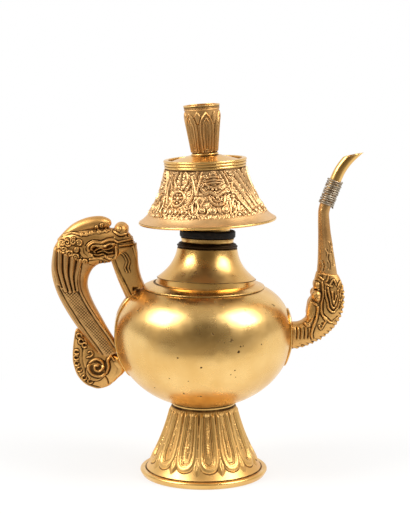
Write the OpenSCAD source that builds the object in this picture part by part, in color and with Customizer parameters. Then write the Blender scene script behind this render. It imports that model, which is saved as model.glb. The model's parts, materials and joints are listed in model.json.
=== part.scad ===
// Himalayan ritual ewer: a globular body on a lotus foot, a makara handle,
// a makara spout mended with a wire binding, and a lift-off cover with a feather tube.
// Millimetres. +Z is up, +X points to the spout, +Y to the back.
// The origin is the middle of the foot's resting face.

/* [Foot] */
// Radius of the base rim, the widest part of the foot
rim_r = 41.6; // [40:0.2:46]
// Height of the base rim
rim_h = 4.4; // [3.8:0.2:6]
// Width of the base rim, from its seam to its outer edge
rim_w = 3.8; // [3.4:0.2:5]
// Height of the foot, from the ground to the body's floor
foot_h = 48.4; // [44:0.2:54]
// Radius of the foot's waist, under the body
waist_r = 20.6; // [18:0.2:22]
// Height of the plain collar at the waist
collar_h = 1.8; // [1.4:0.1:3]
// Width of the collar's section
collar_w = 3; // [2.5:0.1:4]
// Number of lotus petals round the foot
petal_count = 13; // [9:1:16]
// How far the petals stand out of the foot
petal_rise = 1; // [0.6:0.1:1.6]

/* [Body] */
// Radius of the globe at its middle
body_r = 57.2; // [54:0.2:60]
// Height of the globe above its middle
dome_h = 38; // [36:0.5:42]
// Depth of the globe below its middle
bowl_h = 46.5; // [44:0.5:50]
// Fullness of the globe's shoulders: 2 is an ellipse
dome_power = 2.6; // [2.2:0.05:2.8]
// Thickness of the raised sheet of the body and foot
sheet = 1.4; // [1:0.1:2]
// Radius of the hole from the body into the spout
spout_hole_r = 4.4; // [3:0.2:5]

/* [Shoulder and neck] */
// Radius of the plate lapped over the shoulder
shoulder_r = 39.4; // [37:0.2:42]
// Thickness of the shoulder plate and of the handle and spout plates
plate = 0.9; // [0.6:0.1:1.4]
// Radius of the stepped ring at the foot of the neck
step_r = 31.8; // [30:0.1:34]
// Width of the stepped ring
step_w = 3.8; // [3.2:0.1:4.4]
// Height of the stepped ring over the globe, at the ring's outer edge
step_rise = 3.2; // [3.1:0.1:5]
// Length of the flared neck above the stepped ring
neck_h = 20; // [17:0.1:23]
// Radius of the neck at its top
neck_r = 19.3; // [18.5:0.1:21]
// Height of the dark bead on top of the neck
bead_h = 3.2; // [2.6:0.1:4.4]
// Height of the mouth collar above the bead
mouth_h = 3.2; // [2.6:0.1:5]
// Outer radius of the mouth collar
mouth_r = 16.8; // [16.6:0.1:18]
// Bore radius of the mouth
mouth_bore_r = 15.7; // [15.5:0.1:15.9]
// How far the neck has bent towards the spout, in degrees
neck_lean = 1.5; // [0:0.1:2.5]
// How far the neck has bent to the back, in degrees
neck_back = 3.2; // [0:0.1:3.2]
// How far the neck sits off the body's axis, towards the spout
neck_shift = 1.7; // [0:0.1:2.2]

/* [Seal ring] */
// Height of the black ring under the cover
seal_h = 5; // [4:0.1:6.5]
// Width of the black ring's section
seal_w = 2.7; // [2.4:0.1:3.6]

/* [Cover] */
// Outer radius of the cover's plug sleeve
sleeve_r = 14.4; // [13.3:0.1:14.6]
// Wall of the plug sleeve
sleeve_wall = 1.2; // [0.8:0.1:2]
// How far the sleeve reaches below its seat
plug_depth = 10; // [8:0.5:11]
// Radius of the sleeve's seat flange
seat_r = 16.4; // [16:0.1:17.5]
// Radius of the skirt at its hem
hem_r = 44.5; // [41:0.1:48]
// Radius of the round bead along the hem
hem_bead = 0.8; // [0.6:0.1:1.4]
// Height of the hem bead above the seat
hem_z = 4.6; // [3:0.1:7]
// Radius of the cover at its top ring
crown_r = 26; // [24.5:0.1:29]
// Height of the edge of the cover's floor above the seat
floor_z = 41.6; // [38:0.2:45]
// How far the floor rises from its edge to its hub
floor_rise = 4; // [2:0.1:5]
// Height of the top ring
ring_h = 5.5; // [4.5:0.1:7]
// Thickness of the cover's sheet
cover_sheet = 1.1; // [0.8:0.1:1.6]
// How far the cover leans towards the handle, in degrees
cover_lean = 2.3; // [0:0.1:2.5]
// How far the cover leans to the back, in degrees
cover_back = 0.7; // [0:0.1:1.5]
// How far the emblems stand out of the skirt
emblem_rise = 0.7; // [0.4:0.1:1]

/* [Feather tube] */
// Height of the tube above the cover's hub
tube_h = 32; // [28:0.2:38]
// Radius of the tube at its foot
tube_foot_r = 7.9; // [7.8:0.1:8.6]
// Radius of the tube under its rim
tube_top_r = 11.3; // [10.5:0.1:12.5]
// Wall of the tube
tube_wall = 1.2; // [0.8:0.1:1.8]
// Radius of the socket for the quills in the tube's stem
socket_r = 5.8; // [5:0.1:6]
// Radius of the stem that drops through the cover's floor
stem_r = 7; // [6.8:0.1:7.2]
// Length of the stem below the cover's floor
stem_len = 22; // [15:0.5:28]
// How far the tube leans from the cover's axis, in degrees
tube_lean = 1.7; // [0:0.1:2]

/* [Handle and spout] */
// Half width of the plate under the handle
handle_plate_w = 9; // [7:0.5:11]
// Half width of the plate under the spout
spout_plate_w = 12; // [10:0.5:14]
// How far the handle's plate reaches below the globe's middle
handle_plate_drop = 27; // [20:0.5:30]
// How far the spout's plate reaches below the globe's middle
spout_plate_drop = 20; // [16:0.5:24]
// How far the spout's plate reaches above the globe's middle
spout_plate_rise = 18; // [15:0.5:22]
// Radius of the spout where the wire binds it
spout_r = 3.7; // [3.5:0.1:4.1]
// Wall of the spout's tube and tip
spout_wall = 1.2; // [0.9:0.1:1.4]
// Radius of the channel through the makara at the spout's root
channel_r = 4.6; // [3.6:0.1:5.2]

/* [Wire binding] */
// Thickness of the binding wire
wire_d = 1.2; // [0.8:0.05:1.2]
// Step from one turn of wire to the next
wire_pitch = 1.42; // [1.4:0.02:1.6]
// Number of turns of wire
wire_turns = 12; // [8:1:13]

/* [Hidden] */
// Gap of a soldered seam
seam = 0.05;
// Play of the loose stem in the cover's floor
stem_play = 0.7;
// Play between a loose piece and the seat under it
seat_play = 0.2;
// Play of the cover's sleeve in the black ring
sleeve_play = 0.9;
// Play between the binding wire and the spout
wire_play = 0.3;
// Segments of a drawn curve
steps = 14;
// Segments of a profile that carries relief
relief_steps = 7;
// Sides of a swept casting, and of a small one
loft_sides = 20;
small_sides = 14;
// Sides of a small boss on a casting
boss_sides = 16;
// Sides of a small boss on the skirt
emblem_sides = 8;
// Squareness of a swept section: 1 is an ellipse, higher values are boxier
elliptical = 1;
rounded = 1.1;
full = 1.4;
boxy = 2;
$fn = 96;

// Heights and radii that follow from the sizes above
floor_ledge = 0.4;
floor_r = waist_r - floor_ledge;
body_z = foot_h + bowl_h * sqrt(1 - pow(floor_r / body_r, 2));
shoulder_z = body_z + dome_at(shoulder_r);
opening_inset = 5.4;
opening_r = step_r - opening_inset;
step_h = dome_at(step_r) - dome_at(shoulder_r) + step_rise;
bead_z = step_h + neck_h;
mouth_z = bead_z + bead_h;
seal_z = mouth_z + mouth_h;
seal_bore_r = sleeve_r + sleeve_play;
neck_at = [neck_shift, 0, shoulder_z];
neck_axis = [cos(neck_back) * sin(neck_lean), sin(neck_back), cos(neck_back) * cos(neck_lean)];
cover_axis = [-cos(cover_back) * sin(cover_lean), sin(cover_back), cos(cover_back) * cos(cover_lean)];
tilt = acos(min(1, neck_axis * cover_axis));
seat_z = seal_z + seal_h + (seal_bore_r + seal_w / 2) * sin(tilt) + seat_play;
seat_h = 1.4;
crown_w = 2.2;
crown_drop = 2.5;
hub_r = 10.5;
hub_z = floor_z + floor_rise;
hub_top_z = hub_z + cover_sheet;
floor_edge_r = crown_r - crown_w;
crown_z = floor_z - crown_drop;
tube_collar_w = 0.9;
tube_collar_h = 1.2;
tube_collar_r = tube_foot_r + tube_collar_w;
tube_rim_h = 1.2;
tube_lip = 0.4;
tube_bend = 0.78;
tube_bend_r = 11.1;
tube_seat = tube_collar_r * sin(tube_lean) + seat_play;

// Colours of the pieces
polished = "#d9a94e";
chased = "#c4923c";
tarnished = "#4a3013";
iron = "#8d8673";
black = "#17130f";

// Drawn curves

// Point at t on a cubic curve with four control points
function bezier(p, t) = pow(1 - t, 3) * p[0] + 3 * t * pow(1 - t, 2) * p[1]
    + 3 * t * t * (1 - t) * p[2] + t * t * t * p[3];
function curve(p, n = steps) = [for (i = [0:n]) bezier(p, i / n)];

// Points of a circular arc in a profile
function arc(centre, r, from, to, n = 8) = [for (i = [0:n]) let (a = from + (to - from) * i / n)
    centre + r * [cos(a), sin(a)]];

// Smooth curve through the rows of a table, n steps from row to row
function blend(a, b, c, d, t) = 0.5 * (2 * b + (c - a) * t + (2 * a - 5 * b + 4 * c - d) * t * t
    + (3 * b - a - 3 * c + d) * t * t * t);
function row(table, i) = table[max(0, min(len(table) - 1, i))];
function along(table, u) = let (i = min(floor(u), len(table) - 2))
    blend(row(table, i - 1), row(table, i), row(table, i + 1), row(table, i + 2), u - i);
function smooth(table, n = 3) = [for (i = [0:(len(table) - 1) * n]) along(table, i / n)];

function reversed(list) = [for (i = [len(list) - 1:-1:0]) list[i]];
// The same profile moved towards the axis
function inward(list, by) = [for (p = list) [p[0] - by, p[1]]];

// Profile of the globe, grown outwards by a thickness

function dome_at(r) = dome_h * pow(1 - pow(r / body_r, dome_power), 1 / dome_power);
function dome_point(angle, grow) = [
    (body_r + grow) * pow(cos(angle), 2 / dome_power),
    (dome_h + grow) * pow(sin(angle), 2 / dome_power)
];
function bowl_point(angle, grow) = [(body_r + grow) * cos(angle), -(bowl_h + grow) * sin(angle)];
// Angle at which the globe, grown by a thickness, has radius r
function dome_angle(r, grow) = acos(pow(r / (body_r + grow), dome_power / 2));
function bowl_angle(r, grow) = acos(r / (body_r + grow));
function dome_arc(from_r, to_r, grow, n = steps) = let (
    a = dome_angle(from_r, grow),
    b = dome_angle(to_r, grow)
) [for (i = [0:n]) dome_point(a + (b - a) * i / n, grow)];
// The side of the globe from its floor up to radius top_r
function globe_side(top_r, grow) = concat(
    [for (i = [0:steps - 1]) bowl_point(bowl_angle(floor_r, grow) * (1 - i / steps), grow)],
    [for (i = [0:steps]) dome_point(dome_angle(top_r, grow) * i / steps, grow)]
);

// A filled globe, used to trim what is soldered to the body
module globe_filled(grow) {
    side = globe_side(floor_r, grow);
    translate([0, 0, body_z])
        rotate_extrude()
        polygon(concat([[0, side[0][1]]], side, [[0, side[len(side) - 1][1]]]));
}

// A thin layer of the globe's surface
module globe_layer(from, to) {
    translate([0, 0, body_z])
        rotate_extrude()
        polygon(concat(globe_side(opening_r, to), reversed(globe_side(opening_r, from))));
}

// Castings swept through stations in the XZ plane.
// A station is [back x, back z, belly x, belly z, half depth].

function blunt(v, squareness) = sign(v) * pow(abs(v), 1 / squareness);
function middle(s) = [(s[0] + s[2]) / 2, 0, (s[1] + s[3]) / 2];
function reach(s) = [(s[0] - s[2]) / 2, 0, (s[1] - s[3]) / 2];
function section(s, squareness, sides) = [for (k = [0:sides - 1]) let (a = 360 * k / sides)
    middle(s) + reach(s) * blunt(cos(a), squareness) + [0, s[4] * blunt(sin(a), squareness), 0]];
// Faces of a tube of n rings, closed at both ends
function tube_faces(n, sides) = concat(
    [for (i = [0:n - 2]) for (k = [0:sides - 1]) let (
        a = i * sides + k,
        b = i * sides + (k + 1) % sides
    ) each [[a, b, b + sides], [a, b + sides, a + sides]]],
    [for (k = [1:sides - 2]) [0, k + 1, k]],
    [for (k = [1:sides - 2]) (n - 1) * sides * [1, 1, 1] + [0, k, k + 1]]
);
function turned(faces) = [for (f = faces) reversed(f)];

module loft(stations, squareness = full, sides = loft_sides) {
    n = len(stations);
    points = [for (s = stations) each section(s, squareness, sides)];
    ahead = middle(stations[1]) - middle(stations[0]);
    inside_out = cross(reach(stations[0]), [0, 1, 0]) * ahead > 0;
    faces = tube_faces(n, sides);
    polyhedron(points, inside_out ? turned(faces) : faces);
}

// Stations given from the globe's side: -1 is the handle's side and 1 the spout's
function beside(side, table) = [for (s = table) [
    side * body_r + s[0], body_z + s[1], side * body_r + s[2], body_z + s[3], s[4]
]];
// A station across a round part with its middle at p, pointing along d
function round_station(p, d, r) = [p[0] + r * d[1], p[1] - r * d[0], p[0] - r * d[1], p[1] + r * d[0], r];
// Stations drawn in from their outside by a wall
function drawn_in(table, wall) = [for (s = table) let (
    m = middle(s),
    keep = 1 - wall / norm(reach(s)),
    b = reach(s) * keep
) [m[0] + b[0], m[2] + b[2], m[0] - b[0], m[2] - b[2], s[4] - wall]];

// Stations of the handle, from the globe's side
arm_table = [
    [-8.6, -14.8, 3.4, -9.0, 6.0],
    [-16.8, -5.1, -3.3, 1.6, 6.3],
    [-24.1, 4.6, -8.8, 11.5, 6.6],
    [-31.2, 15.6, -14.6, 22.6, 7.0],
    [-37.2, 27.3, -17.6, 31.6, 7.5],
    [-40.6, 38.6, -17.2, 38.3, 8.0],
    [-41.0, 48.1, -14.7, 43.7, 8.5],
    [-39.4, 58.1, -12.0, 46.3, 8.8]
];
head_table = [
    [-39.4, 58.1, -12.0, 46.3, 8.8],
    [-33.8, 65.9, -9.1, 47.7, 9.0],
    [-23.3, 70.4, -5.4, 48.1, 9.0],
    [-11.8, 70.9, -1.6, 49.3, 8.8],
    [-0.3, 70.3, 3.2, 52.1, 8.0],
    [7.7, 68.6, 9.2, 54.6, 6.5],
    [11.9, 63.6, 12.4, 57.6, 4.0]
];
crest_table = [
    [-37.3, 63.1, -34.3, 60.6, 3.0],
    [-28.3, 72.3, -23.8, 65.6, 5.5],
    [-18.8, 77.0, -15.8, 68.1, 6.0],
    [-9.3, 78.3, -8.8, 69.6, 5.5],
    [-3.3, 76.3, -4.0, 71.1, 3.5],
    [-2.0, 73.7, -2.2, 72.4, 1.4]
];
// The strut's foot is given from the shoulder plate's edge, which it stands on
strut_foot = [-6.1, -17.5, 6.9, -10.5, 7.0];
shoulder_edge = [body_r - shoulder_r, shoulder_z - body_z];
strut_table = [
    [-3.4, 52.0, 14.0, 61.0, 6.0],
    [1.6, 37.6, 15.4, 44.6, 6.6],
    [6.3, 26.7, 18.8, 33.3, 7.0],
    strut_foot + concat(shoulder_edge, shoulder_edge, [0])
];
tail_table = [
    [-25.6, 4.8, -23.8, 4.2, 1.6],
    [-27.2, -3.9, -18.5, -1.5, 4.0],
    [-27.9, -11.9, -9.5, -9.4, 5.6],
    [-27.4, -19.9, 6.0, -14.0, 6.6],
    [-24.3, -26.9, 6.6, -22.4, 6.6],
    [-19.3, -32.1, 1.7, -27.4, 6.0],
    [-13.8, -34.7, -3.3, -32.3, 4.6],
    [-11.3, -35.0, -8.3, -34.7, 1.8]
];
// Makara's eye bosses and open mouth on the handle, and the boss of the tail's scroll
brow = [4.2, 69.4];
brow_r = 4.8;
brow_y = 3.6;
jaw = [[-17.1, 56.3], [-11.5, 60.4], [-4.5, 60.2], [1.9, 62.2], [0.8, 54.2], [-6.5, 53.0], [-12.5, 52.0]];
jaw_y = 6.4;
scroll = [-13, -22.7];
scroll_r = 6;
scroll_y = 7.4;

// Stations of the spout, from the globe's side
makara_table = [
    [-5.2, -8.9, -5.2, 9.1, 8.3],
    [3.8, -8.0, 3.8, 9.1, 8.3],
    [11.8, -5.3, 8.8, 12.1, 8.2],
    [20.8, -0.4, 9.8, 17.1, 8.2],
    [28.3, 7.1, 10.6, 22.1, 8.4],
    [32.8, 16.6, 12.4, 27.1, 8.4],
    [33.8, 25.6, 13.6, 32.1, 8.0],
    [32.8, 33.6, 14.4, 37.1, 7.2],
    [29.8, 40.1, 15.6, 42.1, 6.2]
];
snout_eye = [15.5, 27.6];
snout_eye_r = 3.4;
snout_eye_y = 6.6;
// Straight run of the spout under the wire, from its start to its end
wrap_start = [20.4, 83.1];
wrap_end = [28.2, 103.6];
wrap_way = (wrap_end - wrap_start) / norm(wrap_end - wrap_start);
wrap_joint = (wrap_start + wrap_end) / 2;
tube_table = [
    [29.3, 40.2, 16.0, 42.05, 5.8],
    [27.4, 51.1, 16.5, 51.6, 5.3],
    [25.1, 65.1, 16.6, 65.1, 4.3],
    [23.9, 75.0, 16.4, 75.9, 3.8],
    round_station(wrap_start, wrap_way, spout_r),
    round_station(wrap_joint, wrap_way, spout_r)
];
tip_table = [
    round_station(wrap_joint, wrap_way, spout_r),
    round_station(wrap_end, wrap_way, spout_r),
    [34.1, 107.3, 28.1, 111.3, 3.6],
    [38.0, 112.5, 32.9, 117.3, 3.5],
    [43.1, 117.5, 38.5, 122.7, 3.4],
    [48.0, 121.4, 43.6, 126.8, 3.3]
];
// Slanting cut at the tip: a point on it and its slope in degrees
lip_at = [34.8, 117];
lip_slope = 12;

function arm_stations() = beside(-1, smooth(arm_table));
function head_stations() = beside(-1, smooth(head_table));
function makara_stations() = beside(1, smooth(makara_table));
function tube_stations() = beside(1, smooth(tube_table, 2));
function tip_stations() = beside(1, smooth(tip_table, 2));
// The makara's channel: round, along the middle of its stations
function channel_stations() = [for (s = makara_stations()) let (
    b = reach(s) * channel_r / norm(reach(s)),
    m = middle(s)
) [m[0] + b[0], m[2] + b[2], m[0] - b[0], m[2] - b[2], channel_r]];
// A station carried on past the end of a run, so that a cut passes right through
function run_on(a, b, by) = let (d = (middle(b) - middle(a)) / norm(middle(b) - middle(a)) * by)
    [b[0] + d[0], b[1] + d[2], b[2] + d[0], b[3] + d[2], b[4]];
function through(list) = concat(
    [run_on(list[1], list[0], 1)], list, [run_on(list[len(list) - 2], list[len(list) - 1], 1)]
);

// Places where the leaning pieces sit

module at_neck() {
    translate(neck_at) rotate([-neck_back, neck_lean, 0]) children();
}
module at_cover() {
    translate(neck_at + neck_axis * seat_z) rotate([-cover_back, -cover_lean, 0]) children();
}
module at_tube() {
    at_cover() translate([0, 0, hub_top_z + tube_seat]) rotate([0, -tube_lean, 0]) children();
}

// Foot

foot_top_z = foot_h - collar_h - seam;
flare_r = rim_r - rim_w - seam;
foot_run = foot_top_z - rim_h;
// Handles of the foot's curve at its waist and its rim, as shares of the run
waist_handle = [0.05, 0.25];
flare_handle = [0.22, 0.31];
foot_profile = curve([
    [waist_r, foot_top_z],
    [waist_r + foot_run * waist_handle[0], foot_top_z - foot_run * waist_handle[1]],
    [flare_r - foot_run * flare_handle[0], rim_h + foot_run * flare_handle[1]],
    [flare_r, rim_h]
], relief_steps);
// Outlines of one petal's raised border and of the hollow inside it, tips down:
// [half width, height as a share of the foot's run]
petal_half = [[0, 0.1], [0.5, 0.14], [0.8, 0.24], [0.84, 0.45], [0.74, 0.96]];
hollow_half = [[0, 0.2], [0.34, 0.24], [0.46, 0.34], [0.36, 0.98]];
// Where the cut of a petal starts, as a share of the waist's radius
relief_in = 0.8;
// How much a petal narrows from its tip to its root, as a share
petal_taper = 0.35;
// Angle of the first petal from the front, in degrees, and where it lies in the shell before the shell is turned
petal_turn = 6.2;
petal_start = -3.1;
// How far the rim's foot is set in, how far its top sinks towards its seam,
// and the radius and arc of its round edge
rim_set = 1.6;
rim_sink = 0.2;
rim_edge = 1.4;
rim_arc = [-25, 85];
// How far the collar stands out at its middle
collar_swell = 0.15;

module leaf_outline(half) {
    half_w = PI * flare_r / petal_count;
    right = [for (p = half) [p[0] * half_w * (1 - petal_taper * p[1]), rim_h + p[1] * foot_run]];
    left = [for (i = [len(right) - 1:-1:0]) if (right[i][0] > 0) [-right[i][0], right[i][1]]];
    polygon(concat(right, left));
}

module petal() {
    rotate([90, 0, 0]) translate([0, 0, relief_in * waist_r]) linear_extrude(rim_r) difference() {
        leaf_outline(petal_half);
        leaf_outline(hollow_half);
    }
}

module foot_layer() {
    rotate_extrude()
        polygon(concat(
            inward(foot_profile, -petal_rise),
            reversed(inward(foot_profile, sheet / 2))
        ));
}

module foot_shell() {
    color(chased) rotate([0, 0, petal_turn - petal_start]) {
        rotate_extrude()
            polygon(concat(
                foot_profile,
                [[flare_r, seam], [flare_r - sheet, seam]],
                reversed(inward(foot_profile, sheet))
            ));
        for (i = [0:petal_count - 1])
            rotate([0, 0, petal_start + 360 * i / petal_count])
            intersection() {
                foot_layer();
                petal();
            }
    }
}

module foot_rim() {
    color(polished) rotate_extrude()
        polygon(concat(
            [[rim_r - rim_w, 0], [rim_r - rim_set, 0]],
            arc([rim_r - rim_edge, rim_h - rim_edge], rim_edge, rim_arc[0], rim_arc[1]),
            [[rim_r - rim_w, rim_h - rim_sink]]
        ));
}

module foot_collar() {
    swell = collar_w + collar_swell;
    color(polished) rotate_extrude()
        translate([waist_r - collar_w, foot_h - collar_h])
        polygon([
            [0, 0], [collar_w, 0], [swell, collar_h / 3], [swell, collar_h * 2 / 3],
            [collar_w, collar_h - seam], [0, collar_h - seam]
        ]);
}

// Body

module body_globe() {
    outer = globe_side(opening_r, 0);
    inner = globe_side(opening_r, -sheet);
    color(polished) difference() {
        translate([0, 0, body_z])
            rotate_extrude()
            polygon(concat([[0, outer[0][1]]], outer, reversed(inner), [[0, inner[0][1]]]));
        translate([0, 0, body_z]) rotate([0, 90, 0]) cylinder(r = spout_hole_r, h = 2 * body_r);
    }
}

module shoulder_plate() {
    color(polished) translate([0, 0, body_z])
        rotate_extrude()
        polygon(concat(
            dome_arc(shoulder_r, opening_r, seam + plate),
            reversed(dome_arc(shoulder_r, opening_r, seam))
        ));
}

// Round-ended strip, standing in the XZ plane's side view, that cuts a plate out of the layer
module strip(side, half_w, low, high) {
    depth = 2 * body_r;
    translate([side > 0 ? 0 : -depth, 0, 0]) rotate([90, 0, 90]) linear_extrude(depth) {
        translate([-half_w, low + half_w]) square([2 * half_w, high - low - 2 * half_w]);
        translate([0, low + half_w]) circle(half_w);
        translate([0, high - half_w]) circle(half_w);
    }
}

// Gap from the handle's plate to the shoulder plate's edge
plate_gap = 0.8;

module handle_plate() {
    color(polished) intersection() {
        globe_layer(seam, seam + plate);
        strip(-1, handle_plate_w, body_z - handle_plate_drop, shoulder_z - plate_gap);
    }
}

module spout_plate() {
    color(polished) difference() {
        intersection() {
            globe_layer(seam, seam + plate);
            strip(1, spout_plate_w, body_z - spout_plate_drop, body_z + spout_plate_rise);
        }
        translate([0, 0, body_z]) rotate([0, 90, 0]) cylinder(r = spout_hole_r, h = 2 * body_r);
    }
}

// Neck

// Rounding of the stepped ring's edge
step_edge = 0.4;
// How far the neck's foot stands out over the stepped ring
neck_over = 0.3;
// Handles of the neck's curve: how far they reach inwards, and up or down as shares of the neck
neck_low_handle = [5.6, 0.23];
neck_high_handle = [1.6, 0.54];
// Half of the arc that a bead shows, in degrees
bead_arc = 80;
// How far the dark bead stands out over the neck, and how far it draws in at its top
bead_over = 0.3;
bead_taper = 0.4;
// How far the mouth's lip stands out, and its height
mouth_lip = 0.4;
mouth_lip_h = 1.2;

module neck_step_ring() {
    color(polished) difference() {
        at_neck() rotate_extrude()
            polygon(concat(
                [[step_r - step_w, 0], [step_r, 0]],
                arc([step_r - step_edge, step_h - step_edge], step_edge, 0, 90),
                [[step_r - step_w, step_h]]
            ));
        globe_filled(plate + 2 * seam);
    }
}

module neck_flare() {
    foot_r = step_r + neck_over;
    profile = curve([
        [foot_r, step_h + seam],
        [foot_r - neck_low_handle[0], step_h + neck_h * neck_low_handle[1]],
        [neck_r + neck_high_handle[0], bead_z - neck_h * neck_high_handle[1]],
        [neck_r, bead_z - seam]
    ]);
    color(polished) at_neck() rotate_extrude()
        polygon(concat(profile, reversed(inward(profile, sheet))));
}

module neck_bead() {
    r = bead_h / 2;
    color(tarnished) at_neck() rotate_extrude()
        polygon(concat(
            [[mouth_bore_r, bead_z]],
            arc([neck_r + bead_over - r, bead_z + r], r, -bead_arc, 0),
            arc([neck_r - bead_taper - r, bead_z + r], r, 0, bead_arc),
            [[mouth_bore_r, bead_z + bead_h]]
        ));
}

module mouth_collar() {
    lip_r = mouth_r + mouth_lip;
    color(polished) at_neck() rotate_extrude()
        polygon([
            [mouth_bore_r, mouth_z + seam], [mouth_r, mouth_z + seam], [mouth_r, seal_z - mouth_lip_h],
            [lip_r, seal_z - mouth_lip_h * 2 / 3], [lip_r, seal_z - mouth_lip_h / 4], [mouth_r, seal_z],
            [mouth_bore_r, seal_z]
        ]);
}

// Handle

module handle_arm() {
    color(chased) difference() {
        loft(arm_stations());
        globe_filled(plate + 2 * seam);
    }
}

module head_mass() {
    loft(head_stations());
    loft(beside(-1, smooth(crest_table)), rounded, small_sides);
    for (y = [-brow_y, brow_y])
        translate([brow[0] - body_r, y, brow[1] + body_z]) sphere(brow_r, $fn = boss_sides);
}

module handle_head() {
    color(chased) difference() {
        head_mass();
        for (side = [0, 1])
            mirror([0, side, 0])
            translate([-body_r, -jaw_y, body_z])
            rotate([90, 0, 0])
            linear_extrude(jaw_y)
            polygon(jaw);
    }
}

module handle_strut() {
    color(chased) difference() {
        loft(beside(-1, smooth(strut_table)), boxy);
        head_mass();
        globe_filled(plate + 2 * seam);
    }
}

module handle_tail() {
    color(chased) difference() {
        union() {
            loft(beside(-1, smooth(tail_table)));
            translate([scroll[0] - body_r, scroll_y, scroll[1] + body_z])
                rotate([90, 0, 0])
                cylinder(r = scroll_r, h = 2 * scroll_y, $fn = boss_sides);
        }
        loft(arm_stations());
        globe_filled(plate + 2 * seam);
    }
}

// Spout

module spout_makara() {
    color(chased) difference() {
        union() {
            loft(makara_stations());
            for (y = [-snout_eye_y, snout_eye_y])
                translate([snout_eye[0] + body_r, y, snout_eye[1] + body_z])
                sphere(snout_eye_r, $fn = boss_sides);
        }
        loft(through(channel_stations()), elliptical, small_sides);
        globe_filled(plate + 2 * seam);
    }
}

module spout_tube() {
    color(polished) difference() {
        loft(tube_stations(), rounded);
        loft(through(drawn_in(tube_stations(), spout_wall)), rounded);
    }
}

module spout_tip() {
    size = body_r;
    color(polished) difference() {
        loft(tip_stations(), rounded);
        loft(through(drawn_in(tip_stations(), spout_wall)), rounded);
        translate([body_r + lip_at[0], 0, body_z + lip_at[1]])
            rotate([0, -lip_slope, 0])
            translate([-size / 2, -size / 2, 0])
            cube(size);
    }
}

// Wire: one unbroken tube wound on the straight run, with short straight ends

wire_rings = 24;
wire_sides = 6;
coil_r = spout_r + wire_d / 2 + wire_play;
wire_from = (norm(wrap_end - wrap_start) - wire_turns * wire_pitch) / 2;
wrap_axis = [wrap_way[0], 0, wrap_way[1]];
wrap_side = [wrap_way[1], 0, -wrap_way[0]];
wrap_origin = [body_r + wrap_start[0], 0, body_z + wrap_start[1]];

function wire_out(a) = wrap_side * cos(a) + [0, sin(a), 0];
function wire_round(a) = wrap_side * -sin(a) + [0, cos(a), 0];
function wire_point(a) = wrap_origin
    + wrap_axis * (wire_from + wire_pitch * a / 360)
    + wire_out(a) * coil_r;
function wire_way(a) = let (way = wrap_axis * wire_pitch / (2 * PI) + wire_round(a) * coil_r)
    way / norm(way);
function wire_ring(a, ahead) = let (out = wire_out(a), way = wire_way(a), up = cross(way, out))
    [for (k = [0:wire_sides - 1]) let (b = 360 * k / wire_sides)
        wire_point(a) + way * ahead + (out * cos(b) + up * sin(b)) * wire_d / 2];
wire_angles = [for (i = [0:wire_turns * wire_rings]) 360 * i / wire_rings];
wire_gap = min([for (i = [0:wire_rings]) for (j = [wire_rings / 2:3 * wire_rings / 2])
    norm(wire_point(wire_angles[i + j]) - wire_point(wire_angles[i]))]) - wire_d;
echo(str("least gap of the wire to itself, mm: ", wire_gap));

module spout_binding() {
    last = wire_turns * 360;
    points = concat(
        wire_ring(0, -wire_d),
        [for (a = wire_angles) each wire_ring(a, 0)],
        wire_ring(last, wire_d)
    );
    color(iron) polyhedron(points, turned(tube_faces(len(wire_angles) + 2, wire_sides)));
}

// Seal ring and cover

// How far the skirt's edges lie inside the hem and inside the crown
skirt_ledge = 0.4;
crown_ledge = 0.2;
// Handles of the skirt's curve: at the hem as shares of its width and height,
// at the crown as a length outwards and a share of its height
hem_handle = [0.56, 0.12];
crown_handle = [2.9, 0.51];
// How far the three beads of the top ring lie inside its edge, from the lowest
ring_beads = [0.5, 0.3, 0.1];

// Underside of the cover's floor at radius r: a cone up to the hub
function floor_at(r) = hub_z - floor_rise * max(0, r - hub_r) / (floor_edge_r - hub_r);

module seal_ring() {
    r = seal_w / 2;
    x = seal_bore_r + r;
    color(black) at_neck() rotate_extrude()
        polygon(concat(
            arc([x, seal_z + seam + r], r, -180, 0),
            arc([x, seal_z + seal_h - r], r, 0, 180)
        ));
}

module cover_sleeve() {
    inside = sleeve_r - sleeve_wall;
    color(polished) at_cover() rotate_extrude()
        polygon([
            [inside, -plug_depth], [sleeve_r, -plug_depth], [sleeve_r, 0], [seat_r, 0], [seat_r, seat_h],
            [sleeve_r, seat_h], [sleeve_r, floor_at(sleeve_r) - seam], [inside, floor_at(inside) - seam]
        ]);
}

skirt_low = hem_z + hem_bead + seam;
skirt_run = crown_z - skirt_low;
skirt_profile = curve([
    [hem_r - skirt_ledge, skirt_low],
    [crown_r + (hem_r - crown_r) * hem_handle[0], skirt_low + skirt_run * hem_handle[1]],
    [crown_r + crown_handle[0], skirt_low + skirt_run * crown_handle[1]],
    [crown_r - crown_ledge, crown_z - seam]
], relief_steps);

// Emblems of the skirt, drawn on its front: [across, height above the seat].
// A band is a path with a half width, a boss is a middle with a radius.

spire = [
    [0, 38.6], [1.5, 36.7], [3, 34.9], [4.5, 32.7], [4.5, 31.2], [-4.5, 31.2], [-4.5, 32.7], [-3, 34.9], [-1.5, 36.7]
];
crown_bands = [
    [[[-5, 30.2], [0, 28.3], [5.3, 30.4]], 0.9],
    [[[-7.8, 27.5], [-5.5, 24.9], [-3, 25.9], [1.8, 23.5], [5.5, 25.3], [8.4, 26]], 1.3],
    [[[-3.6, 23], [-2.4, 19.7], [1.2, 17.5], [5.4, 18.6], [6.6, 23]], 0.9],
    [[[4.8, 38.6], [6.7, 36.1], [9.1, 31.5], [9.7, 28]], 1],
    [[[-9.2, 38.2], [-10.6, 35], [-11, 31.5]], 0.9],
    [[[-9.7, 22.4], [-12.7, 18.6]], 1.3]
];
crown_bosses = [[[-2.4, 14.8], 2.6], [[6.1, 15], 2.6], [[-7.6, 31], 1.6], [[-9, 15.8], 2]];
medal_at = [0, 22];
medal_r = 5.4;
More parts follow.
